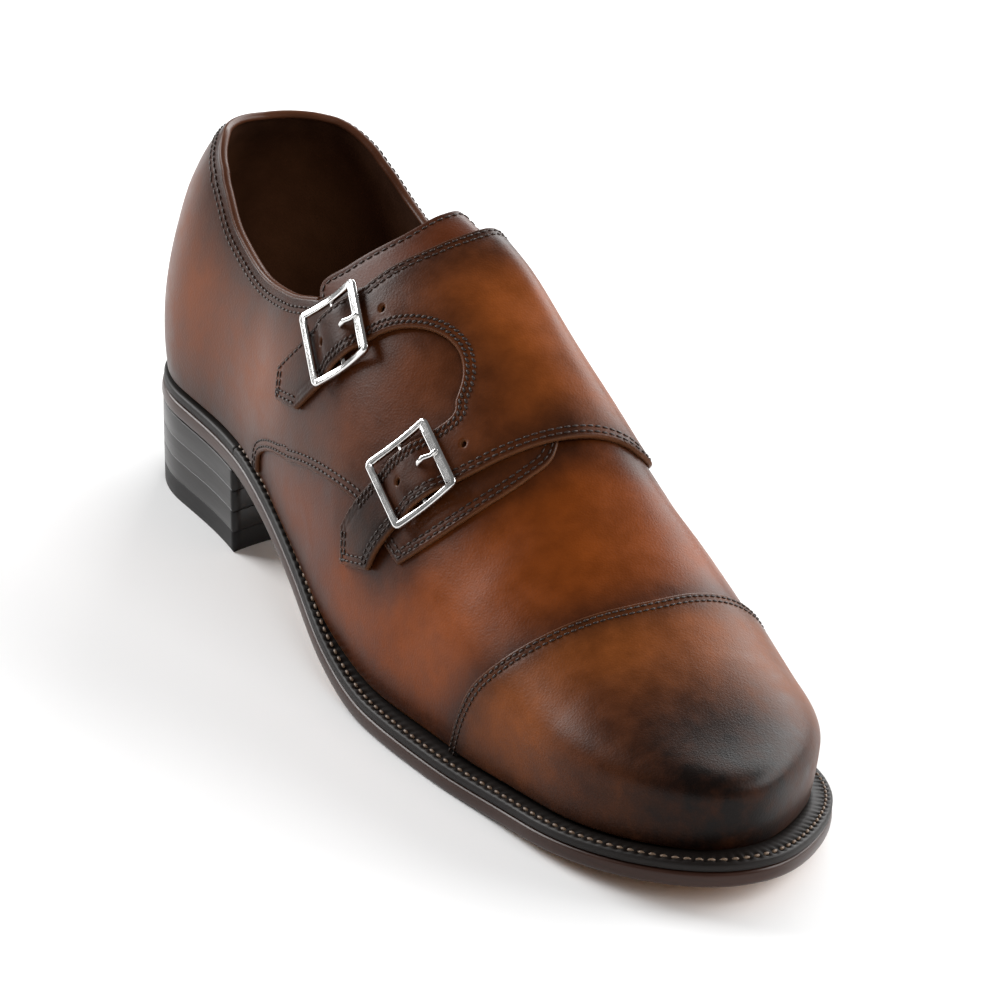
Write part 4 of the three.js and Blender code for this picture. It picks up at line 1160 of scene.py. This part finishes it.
def waxed_edge(name, base, deep, roughness, coat):
    """Dyed and waxed sole leather: dark, hard and smooth, with a faint grain along the layers."""
    material = bpy.data.materials.new(name)
    material.use_nodes = True
    tree = material.node_tree
    shader = tree.nodes["Principled BSDF"]
    place = add_node(tree, "ShaderNodeTexCoord").outputs["Object"]
    stretched = add_node(tree, "ShaderNodeMapping", {"Vector": place, "Scale": (60, 60, 900)})
    layers = add_node(
        tree, "ShaderNodeTexNoise", {"Vector": stretched.outputs[0], "Scale": 1.0, "Detail": 3.0}
    )
    color = add_node(tree, "ShaderNodeMix", {"Factor": layers.outputs["Fac"]}, data_type="RGBA")
    color.inputs["A"].default_value = (*deep, 1)
    color.inputs["B"].default_value = (*base, 1)
    rough = add_node(tree, "ShaderNodeMapRange", {"Value": layers.outputs["Fac"]})
    rough.inputs["To Min"].default_value = roughness - 0.07
    rough.inputs["To Max"].default_value = roughness + 0.07
    bump = add_node(
        tree, "ShaderNodeBump", {"Height": layers.outputs["Fac"], "Strength": 0.25, "Distance": 0.0001}
    )
    tree.links.new(color.outputs["Result"], shader.inputs["Base Color"])
    tree.links.new(rough.outputs[0], shader.inputs["Roughness"])
    tree.links.new(bump.outputs["Normal"], shader.inputs["Normal"])
    shader.inputs["Specular IOR Level"].default_value = 0.25
    shader.inputs["Coat Weight"].default_value = coat
    shader.inputs["Coat Roughness"].default_value = 0.2
    return material


welt_leather = waxed_edge("waxed welt", (0.009, 0.0055, 0.004), (0.004, 0.003, 0.0026), 0.55, 0.03)
welt_places = edge_places(heel_share, -1, 1.0, 0.6)
notch = notch_depth * (0.5 - 0.5 * np.cos(welt_places[2] / notch_pitch * 2 * np.pi)) ** 2
flat = np.zeros(len(notch))
# Each row: inset, height and how much of the notch shows there
welt_profile = [
    (flat + inset, height - share * notch)
    for inset, height, share in (
        (0.7, clearance, 0),
        (0.25, clearance + 0.15, 0),
        (0.25, 2.1, 0),
        (0.55, 2.6, 0),
        (1.0, 2.85, 0.3),
        (1.7, welt_top, 1),
        (2.6, welt_top, 1),
        (3.6, 2.86, 0.6),
        (5.0, 2.7, 0),
        (welt_width, 2.7, 0),
        (welt_width, clearance, 0),
    )
]
welt = make_piece("sewn_welt", *strip_round_sole(welt_places, welt_profile), [welt_leather])
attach(welt, "root")
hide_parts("welt")

# Heel seat
# A plain strip of the same leather carries the welt's line round the heel, pegged to the
# insole instead of sewn.
seat_places = edge_places(heel_share - 0.001, 1, 0.0, 0.9)
flat = np.zeros(len(seat_places[0]))
seat_profile = [
    (flat + inset, flat + height)
    for inset, height in (
        (0.9, clearance),
        (0.35, 0.5),
        (0.3, 2.2),
        (0.6, 2.65),
        (1.2, 2.85),
        (3.0, 2.85),
        (welt_width, 2.85),
        (welt_width, clearance),
    )
]
heel_seat = make_piece("heel_seat_strip", *strip_round_sole(seat_places, seat_profile), [welt_leather])
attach(heel_seat, "root")
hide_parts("heel_seat")

# Outsole
# A single sole of oak-bark tanned leather, sewn to the welt. Its edge is trimmed square with
# softened corners, dyed dark brown and burnished; the underside keeps its natural tan.
outsole_edge = waxed_edge("burnished sole edge", (0.046, 0.018, 0.011), (0.020, 0.008, 0.005), 0.36, 0.12)
outsole_bottom = leather(
    "sole leather", (0.42, 0.24, 0.12), (0.33, 0.17, 0.08), (0.05, 0.022, 0.012), 0.5, coat=0.05
)
outsole_along = np.concatenate(
    [np.linspace(0, 0.12, 24), np.linspace(0.125, 0.82, 130), np.linspace(0.825, 1, 44)]
)


def even(value):
    """The same inset all round the sole."""
    def inset(along):
        return np.full(np.shape(along), value)
    return inset


# Inset and height of each ring of the wall, from the underside up
outsole_rings = ((9.0, 0.0), (4.0, 0.0), (1.6, 0.0), (0.8, 0.1), (0.3, 0.45), (0.08, 1.1), (0.0, 2.1),
                 (0.08, 3.4), (0.3, 4.1), (0.9, outsole_thickness), (3.0, outsole_thickness))
tan_rings = 2
outsole_loops = [
    loop_round_sole(outsole_along, even(inset), above_underside(rise)) for inset, rise in outsole_rings
]
outsole_points, outsole_faces = slab_of(outsole_loops, across=14)
ring_size = len(outsole_loops[0])
wall_count = ring_size * (len(outsole_loops) - 1)
cap_count = (len(outsole_faces) - wall_count) // 2
tan_count = ring_size * tan_rings
outsole_kinds = [1] * tan_count + [0] * (wall_count - tan_count) + [1] * cap_count + [0] * cap_count
waist_station = 115
bottom_burnish = 0.5 * fading(outsole_points[:, 1] - (sole_length / 2 - waist_station), 35, power=4)
outsole = make_piece(
    "burnished_outsole", outsole_points, outsole_faces, [outsole_edge, outsole_bottom], outsole_kinds,
    {"wax_and_shade": bottom_burnish},
)
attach(outsole, "root")
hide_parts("outsole")

# Heel
# Three lifts of stacked leather and a hard top piece, nailed below the outsole and trimmed
# together with a hollow front. The stack is dyed and waxed black, its joints just showing.
top_piece_thickness = 6.0
lift_count = 3
heel_taper = 2.5
heel_step = 0.5
breast_hollow = 6.0
heel_wax = waxed_edge("black heel wax", (0.012, 0.009, 0.008), (0.005, 0.004, 0.004), 0.33, 0.15)
heel_rubber = waxed_edge("top piece rubber", (0.014, 0.013, 0.013), (0.010, 0.009, 0.009), 0.55, 0.0)


def heel_loop(inset, height):
    """The heel's outline at one height, moved inwards, its points (x, y)."""
    taper = heel_taper * (1 - height / heel_height) + heel_step + inset
    side_along = np.concatenate([np.linspace(0, 0.12, 26), np.linspace(0.13, heel_share, 14)])
    inner = inset_edge(side_along[::-1], 1, taper)
    outer = inset_edge(side_along[1:], -1, taper)
    x, station = np.concatenate([inner[1], outer[1]]), np.concatenate([inner[0], outer[0]])
    station = np.minimum(station, heel_length - inset)
    t = np.linspace(0, 1, 18)[1:-1]
    hollow_x = x[-1] + (x[0] - x[-1]) * t
    hollow_station = station[-1] - breast_hollow * 4 * t * (1 - t)
    return np.concatenate([x, hollow_x]), sole_length / 2 - np.concatenate([station, hollow_station])


def heel_layer(name, low, high, material, replaced, top_slope=False):
    """One lift, its corners softened so that the joint to the next shows as a fine line."""
    corner = ((1.5, 0.0), (0.3, 0.0), (0.08, 0.05), (0.0, 0.25))
    rings = [(inset, low + rise) for inset, rise in corner]
    rings += [(inset, high - rise) for inset, rise in corner[::-1]]
    loops = []
    for inset, height in rings:
        x, y = heel_loop(inset, height)
        slope = heel_seat_pitch * (1 - (sole_length / 2 - y) / heel_length)
        sloping = top_slope and height > low + 1
        loops.append(np.stack([x, y, height + slope * sloping], -1))
    count = len(loops[0])
    faces = end_faces(len(loops), count) + wall_faces(len(loops), count)
    piece = make_piece(name, np.concatenate(loops), faces, [material])
    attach(piece, "root")
    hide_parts(replaced)
    return piece


heel_layer("heel_top_piece", 0.0, top_piece_thickness, heel_rubber, "top_piece")
lift_thickness = (heel_height - top_piece_thickness) / lift_count
for number in range(lift_count):
    low = top_piece_thickness + number * lift_thickness
    is_top = number == lift_count - 1
    high = heel_height - clearance if is_top else low + lift_thickness
    label = f"lift_{number + 1}"
    heel_layer(f"heel_{label}", low, high, heel_wax, label, top_slope=is_top)

# Buckles
# Polished steel frames, bent to the strap: flat bars with bevelled edges, the front bar the
# widest. Each turns on a centre bar below the strap, which also holds the prong.
buckle_length = 21.5
buckle_width = 23.0
side_bar = 1.9
rear_bar = 2.1
front_bar = 3.0
frame_thickness = 1.5
corner_radius = 1.9
buckle_steel = bpy.data.materials.new("polished steel")
buckle_steel.use_nodes = True
tree = buckle_steel.node_tree
shader = tree.nodes["Principled BSDF"]
place = add_node(tree, "ShaderNodeTexCoord").outputs["Object"]
handling = add_node(tree, "ShaderNodeTexNoise", {"Vector": place, "Scale": 260.0, "Detail": 4.0})
polish = add_node(
    tree, "ShaderNodeMapRange", {"Value": handling.outputs["Fac"], "To Min": 0.08, "To Max": 0.24}
)
tree.links.new(polish.outputs[0], shader.inputs["Roughness"])
hairlines = add_node(tree, "ShaderNodeMapping", {"Vector": place, "Scale": (300, 2600, 300)})
scratch = add_node(
    tree, "ShaderNodeTexNoise", {"Vector": hairlines.outputs[0], "Scale": 1.0, "Detail": 2.0}
)
bump = add_node(
    tree, "ShaderNodeBump", {"Height": scratch.outputs["Fac"], "Strength": 0.08, "Distance": 0.00004}
)
tree.links.new(bump.outputs["Normal"], shader.inputs["Normal"])
tone = add_node(tree, "ShaderNodeMix", {"Factor": handling.outputs["Fac"]}, data_type="RGBA")
tone.inputs["A"].default_value = (0.78, 0.77, 0.75, 1)
tone.inputs["B"].default_value = (0.90, 0.89, 0.88, 1)
tree.links.new(tone.outputs["Result"], shader.inputs["Base Color"])
shader.inputs["Metallic"].default_value = 1.0


def strap_top(buckle, x):
    """Height of the strap's top over the middle of a buckle, across its width at x."""
    rear, front = np.array(buckle["rear"]), np.array(buckle["front"])
    share = (x + np.array([-1.2, 0, 1.2])) / (buckle_length - 3)
    places = []
    for side in np.linspace(-8, 8, 9):
        for t in share:
            place = np.array(buckle["middle"]) + (front - rear) * t
            places.append(place + np.array([side / sole_length, 0]))
    places = np.array(places)
    top = on_last(places, apron_base(places) + strap_thickness)
    local = in_buckle(buckle, top)
    near = np.abs(local[:, 0] - x) < 2.5
    return local[near, 2].max() if near.any() else local[:, 2].max()


def rounded_rectangle(half_length, half_width, radius):
    """Points round a frame with their outward direction."""
    points, outward = [], []
    corner_middles = np.array([(1, 1), (-1, 1), (-1, -1), (1, -1)]) * (
        half_length - radius, half_width - radius
    )
    for start, middle in enumerate(corner_middles):
        for k in range(6):
            turn = (start + k / 5) * np.pi / 2
            direction = np.array([math.cos(turn), math.sin(turn)])
            points.append(middle + direction * radius)
            outward.append(direction)
        arc_end = points[-1]
        next_corner = corner_middles[(start + 1) % 4] + direction * radius
        for k in range(1, 9):
            points.append(arc_end + (next_corner - arc_end) * k / 9)
            outward.append(direction)
    return np.array(points), np.array(outward)


def build_frame(buckle):
    """The frame of one buckle in its own axes, as points and faces."""
    half_length, half_width = buckle_length / 2, buckle_width / 2
    rear_height = strap_top(buckle, -half_length + rear_bar / 2) + 0.12
    front_height = strap_top(buckle, half_length - front_bar / 2) + 0.12
    middle_height = cement + leather_thickness + 0.9
    rim, outward = rounded_rectangle(half_length, half_width, corner_radius)
    end_bar = np.where(outward[:, 0] > 0, front_bar, rear_bar)
    bar = np.where(np.abs(outward[:, 0]) > 0.7, end_bar, side_bar)
    at = rim[:, 0] / (half_length - 1.5)
    end = np.where(rim[:, 0] < 0, rear_height, front_height)
    height = middle_height + (end - middle_height) * np.clip(np.abs(at), 0, 1) ** 1.7
    profile = ((0.0, 0.3), (0.0, 0.75), (0.12, 1.0), (0.3, 1.0), (0.7, 1.0), (0.88, 1.0), (1.0, 0.75),
               (1.0, 0.3), (0.88, 0.0), (0.12, 0.0))
    rings = []
    for inset, rise in profile:
        xy = rim - outward * (bar * inset)[:, None]
        rings.append(np.concatenate([xy, (height + rise * frame_thickness)[:, None]], 1))
    faces = wall_faces(len(rim), len(profile), closed=True)
    return np.stack(rings, 1).reshape(-1, 3), faces, front_height


def rod(path, radii, sides=12):
    """A round rod through points, with domed ends."""
    path = np.array(path, float)
    tangent = np.gradient(path, axis=0)
    tangent /= np.linalg.norm(tangent, axis=-1, keepdims=True)
    upright = abs(tangent[0][2]) >= 0.8
    wide = np.cross(tangent, (0.0, 1.0, 0.0) if upright else (0.0, 0.0, 1.0))
    wide /= np.linalg.norm(wide, axis=-1, keepdims=True)
    tall = np.cross(wide, tangent)
    turns = np.linspace(0, 2 * np.pi, sides, endpoint=False)
    rings = [path + (wide * math.cos(t) + tall * math.sin(t)) * np.array(radii)[:, None] for t in turns]
    return np.stack(rings, 1).reshape(-1, 3), end_faces(len(path), sides) + wall_faces(len(path), sides)


def placed(buckle, points):
    """Points from a buckle's axes back to the shoe's."""
    return buckle["origin"] + points @ buckle["axes"]


for name, buckle in buckles.items():
    frame_points, frame_faces, front_height = build_frame(buckle)
    bar_height = cement + leather_thickness + over_gap + center_bar / 2
    bar_y = np.array([-1, -0.97, 0.97, 1]) * (buckle_width / 2 - 0.6)
    bar_points, bar_faces = rod([(0, y, bar_height) for y in bar_y], [0.6, 0.8, 0.8, 0.6])
    faces = frame_faces + [tuple(i + len(frame_points) for i in face) for face in bar_faces]
    points = placed(buckle, np.concatenate([frame_points, bar_points]))
    frame_piece = make_piece(f"frame_of_{name}_buckle", points, faces, [buckle_steel])
    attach(frame_piece, "root")
    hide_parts(f"buckle_{name}")

    half_length = buckle_length / 2
    tip_height = front_height + frame_thickness + 0.35
    slot_height = strap_top(buckle, prong_slot)
    prong_path = [
        (prong_slot - 0.6, 0, slot_height - 1.6),
        (prong_slot, 0, slot_height - 0.7),
        (prong_slot + 1.0, 0, slot_height + 0.35),
        (prong_slot + 2.6, 0, slot_height + 0.75),
        (half_length - front_bar - 0.2, 0, tip_height - 0.15),
        (half_length - front_bar * 0.6, 0, tip_height + 0.05),
        (half_length - front_bar * 0.3, 0, tip_height),
        (half_length - front_bar * 0.2, 0, tip_height - 0.1),
    ]
    prong_points, prong_faces = rod(prong_path, [0.5, 0.7, 0.75, 0.75, 0.7, 0.65, 0.5, 0.2])
    prong = make_piece(
        f"prong_of_{name}_buckle", placed(buckle, prong_points), prong_faces, [buckle_steel]
    )
    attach(prong, "root")
    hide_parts(f"prong_{name}")

# Stitches
# Waxed thread in dark brown along every seam, and a paler thread on the welt. Each stitch is
# a short plump length that lies half sunk in the leather.
thread_brown = bpy.data.materials.new("brown thread")
thread_pale = bpy.data.materials.new("welt thread")
for thread, dark, light in (
    (thread_brown, (0.010, 0.0045, 0.003), (0.036, 0.015, 0.008)),
    (thread_pale, (0.09, 0.055, 0.034), (0.22, 0.15, 0.10)),
):
    thread.use_nodes = True
    tree = thread.node_tree
    place = add_node(tree, "ShaderNodeTexCoord").outputs["Object"]
    fibres = add_node(tree, "ShaderNodeTexNoise", {"Vector": place, "Scale": 1800.0, "Detail": 2.0})
    tone = add_node(tree, "ShaderNodeMix", {"Factor": fibres.outputs["Fac"]}, data_type="RGBA")
    tone.inputs["A"].default_value = (*dark, 1)
    tone.inputs["B"].default_value = (*light, 1)
    tree.links.new(tone.outputs["Result"], tree.nodes["Principled BSDF"].inputs["Base Color"])
    tree.nodes["Principled BSDF"].inputs["Roughness"].default_value = 0.5


def stitch_tree():
    """Lays stitches along rows: one at each pitch, turned along the row and slanted if asked."""
    tree, given, out = new_group(
        "rows_of_stitches",
        "GeometryNodeTree",
        [
            ("Rows", "NodeSocketGeometry", None),
            ("Pitch", "NodeSocketFloat", 0.0028),
            ("Length", "NodeSocketFloat", 0.002),
            ("Thickness", "NodeSocketFloat", 0.0007),
            ("Slant", "NodeSocketFloat", 0.0),
            ("Thread", "NodeSocketMaterial", None),
        ],
        [("Stitches", "NodeSocketGeometry")],
    )
    curves = add_node(tree, "GeometryNodeMeshToCurve", {"Mesh": given["Rows"]})
    spaced = add_node(tree, "GeometryNodeResampleCurve", {"Curve": curves.outputs[0]}, mode="LENGTH")
    tree.links.new(given["Pitch"], spaced.inputs["Length"])
    tangent = add_node(tree, "GeometryNodeInputTangent").outputs[0]
    outward = add_node(
        tree, "GeometryNodeInputNamedAttribute", {"Name": "outward"}, data_type="FLOAT_VECTOR"
    )
    slanted = add_node(
        tree, "ShaderNodeVectorRotate", {"Vector": tangent, "Axis": outward.outputs["Attribute"]}
    )
    tree.links.new(given["Slant"], slanted.inputs["Angle"])
    turned = add_node(tree, "FunctionNodeAlignRotationToVector", {"Vector": slanted.outputs[0]}, axis="X")
    ball = add_node(tree, "GeometryNodeMeshUVSphere", {"Segments": 6, "Rings": 5, "Radius": 0.5})
    size = add_node(
        tree,
        "ShaderNodeCombineXYZ",
        {"X": given["Length"], "Y": given["Thickness"], "Z": given["Thickness"]},
    )
    stitch = add_node(
        tree, "GeometryNodeTransform", {"Geometry": ball.outputs["Mesh"], "Scale": size.outputs[0]}
    )
    laid = add_node(
        tree, "GeometryNodeInstanceOnPoints", {"Points": spaced.outputs[0], "Instance": stitch.outputs[0]}
    )
    tree.links.new(turned.outputs[0], laid.inputs["Rotation"])
    real = add_node(tree, "GeometryNodeRealizeInstances", {"Geometry": laid.outputs[0]})
    smooth = add_node(tree, "GeometryNodeSetShadeSmooth", {"Geometry": real.outputs[0]})
    sewn = add_node(
        tree, "GeometryNodeSetMaterial", {"Geometry": smooth.outputs[0], "Material": given["Thread"]}
    )
    tree.links.new(sewn.outputs[0], out["Stitches"])
    return tree


rows_of_stitches = stitch_tree()


def sew(name, rows, pitch, length, thickness, thread, slant=0.0):
    """Turns rows, each (points, outward directions), into one mesh of stitches."""
    mesh = bpy.data.meshes.new(name)
    points = np.concatenate([row[0] for row in rows])
    outward = np.concatenate([row[1] for row in rows])
    edges, count = [], 0
    for row, _ in rows:
        edges += [(count + i, count + i + 1) for i in range(len(row) - 1)]
        count += len(row)
    mesh.from_pydata(((points + shoe_shift) * 0.001).tolist(), edges, [])
    kept_outward = mesh.attributes.new("outward", "FLOAT_VECTOR", "POINT")
    kept_outward.data.foreach_set("vector", outward.astype(np.float32).ravel())
    guide = bpy.data.objects.new(name + "_rows", mesh)
    bpy.context.scene.collection.objects.link(guide)
    modifier = guide.modifiers.new("stitches", "NODES")
    modifier.node_group = rows_of_stitches
    items = rows_of_stitches.interface.items_tree
    sockets = {item.name: item.identifier for item in items if item.in_out == "INPUT"}
    for key, value in (("Pitch", pitch), ("Length", length), ("Thickness", thickness)):
        modifier[sockets[key]] = value * 0.001
    modifier[sockets["Slant"]] = slant
    modifier[sockets["Thread"]] = thread
    depsgraph = bpy.context.evaluated_depsgraph_get()
    made = bpy.data.meshes.new_from_object(guide.evaluated_get(depsgraph), depsgraph=depsgraph)
    made.name = name
    bpy.data.objects.remove(guide)
    piece = bpy.data.objects.new(name, made)
    bpy.context.scene.collection.objects.link(piece)
    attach(piece, "root")
    return piece


def row_beside(line, distance, height, trim=0, base=None):
    """A row of stitching beside a line, at a height over the last or over the base's heights."""
    moved = beside(line, distance)
    moved = moved[trim : len(moved) - trim]
    heights = np.full(len(moved), height) if base is None else base(moved) + height
    return on_last(moved, heights), last_directions(moved[:, 0], moved[:, 1])[2]


def apron_row(line, distance):
    """A row of stitching on the apron or a strap."""
    return row_beside(line, distance, strap_thickness - 0.04, trim=2, base=apron_base)


welt_row_inset = 2.15
cap_top = cement + cap_thickness - 0.02
quarter_top_height = cement + leather_thickness - 0.02
tongue_top = tongue_base + cement + tongue_thickness - 0.04
sewn_seams = [smooth_run(quarter_front), smooth_run(quarter_flap)]
quarter_sewn = [
    row_beside(line, row, quarter_top_height, trim=2) for line in sewn_seams for row in quarter_rows
]
quarter_sewn += [
    row_beside(smooth_run(collar_outer), -row, quarter_top_height, trim=3) for row in collar_rows
]
apron_sewn = [apron_row(line, row) for line in (*double_lines[:2], *strap_tips) for row in strap_rows]
apron_sewn += [apron_row(line, strap_rows[0]) for line in single_lines]
cut_sewn = [apron_row(smooth_run(strap_u[1:-1]), row) for row in strap_rows]
cap_sewn = [row_beside(smooth_run(cap_seam), -row, cap_top) for row in cap_rows]
tongue_sewn = [row_beside(smooth_run(tongue_run), -tongue_row, tongue_top, trim=3)]
sew("cap_stitches", cap_sewn, 2.0, 1.75, 0.62, thread_brown)
sew("outer_quarter_stitches", quarter_sewn, 2.2, 1.9, 0.62, thread_brown)
sew("apron_stitches", apron_sewn, 2.2, 1.9, 0.62, thread_brown)
sew("strap_cut_band", cut_sewn, 1.7, 1.75, 0.8, thread_brown, slant=0.5)
sew("tongue_stitches", tongue_sewn, 2.4, 2.0, 0.62, thread_brown)
station, x, from_station = inset_edge(welt_places[0], welt_places[1], welt_row_inset)
welt_height = underside_height(from_station) + outsole_thickness + welt_top - 0.1
welt_row = np.stack([x, sole_length / 2 - station, welt_height], -1)
sew("welt_stitches", [(welt_row, np.tile([0.0, 0.0, 1.0], (len(welt_row), 1)))],
    notch_pitch, 2.1, 0.95, thread_pale)

# Floor, lights and camera
# A white table under large soft lamps. The camera keeps the angle at which the shoe is
# seen in the photograph, rolled with it, and looks at the middle of the shoe.
floor_mesh = bpy.data.meshes.new("floor")
floor_mesh.from_pydata([(-6, -6, 0), (6, -6, 0), (6, 6, 0), (-6, 6, 0)], [], [(0, 1, 2, 3)])
floor = bpy.data.objects.new("floor", floor_mesh)
bpy.context.scene.collection.objects.link(floor)
floor_paint = bpy.data.materials.new("pale floor")
floor_paint.use_nodes = True
floor_paint.node_tree.nodes["Principled BSDF"].inputs["Base Color"].default_value = (0.92, 0.92, 0.92, 1)
floor_paint.node_tree.nodes["Principled BSDF"].inputs["Roughness"].default_value = 0.7
floor_mesh.materials.append(floor_paint)

world = bpy.data.worlds.new("studio")
world.use_nodes = True
world.node_tree.nodes["Background"].inputs["Color"].default_value = (1.0, 1.0, 1.0, 1)
world.node_tree.nodes["Background"].inputs["Strength"].default_value = 0.16
bpy.context.scene.world = world


def add_lamp(name, place, target, size, power, shine=True):
    """A soft square lamp that faces its target."""
    lamp = bpy.data.lights.new(name, "AREA")
    lamp.shape = "RECTANGLE"
    lamp.size, lamp.size_y = size
    lamp.energy = power
    made = bpy.data.objects.new(name, lamp)
    bpy.context.scene.collection.objects.link(made)
    made.visible_glossy = shine
    way = Vector(target) - Vector(place)
    made.matrix_world = Matrix.Translation(place) @ way.to_track_quat("-Z", "Y").to_matrix().to_4x4()


add_lamp("back left lamp", (-0.85, 1.35, 0.85), (0, 0, 0.05), (1.3, 0.8), 38)
add_lamp("back right lamp", (1.2, 0.8, 0.7), (0, 0, 0.05), (1.5, 0.9), 22)
add_lamp("right lamp", (1.4, -0.5, 0.9), (0, -0.05, 0.03), (1.2, 0.9), 22)
add_lamp("front fill lamp", (0.0, -2.2, 1.9), (-0.1, -0.2, 0.0), (2.4, 1.6), 38, shine=False)

camera_place = np.array([-738.33, -1235.39, 686.39])
photo_target = np.array([-81.57, -32.64, 53.62])
photo_focal = 4.3647
camera_roll = math.radians(5.056)
photo_middle = (0.176, 0.048)
framing = 1.36
sensor_width = 36
forward = (photo_target - camera_place) / np.linalg.norm(photo_target - camera_place)
level = np.cross(forward, (0, 0, 1))
level /= np.linalg.norm(level)
upright = np.cross(level, forward)
right = math.cos(camera_roll) * level + math.sin(camera_roll) * upright
up = -math.sin(camera_roll) * level + math.cos(camera_roll) * upright
aim = forward + (right * photo_middle[0] + up * photo_middle[1]) / photo_focal
aim /= np.linalg.norm(aim)
right -= aim * (right @ aim)
right /= np.linalg.norm(right)
up = np.cross(right, aim)
lens = bpy.data.cameras.new("camera")
lens.sensor_width = sensor_width
lens.lens = photo_focal * sensor_width * framing
lens.clip_end = 50
camera = bpy.data.objects.new("camera", lens)
bpy.context.scene.collection.objects.link(camera)
camera_spot = (camera_place + shoe_shift) * 0.001
turned = Matrix(np.stack([right, up, -aim], 1).tolist()).to_4x4()
camera.matrix_world = Matrix.Translation(camera_spot.tolist()) @ turned
bpy.context.scene.camera = camera
bpy.context.scene.view_settings.view_transform = "Standard"
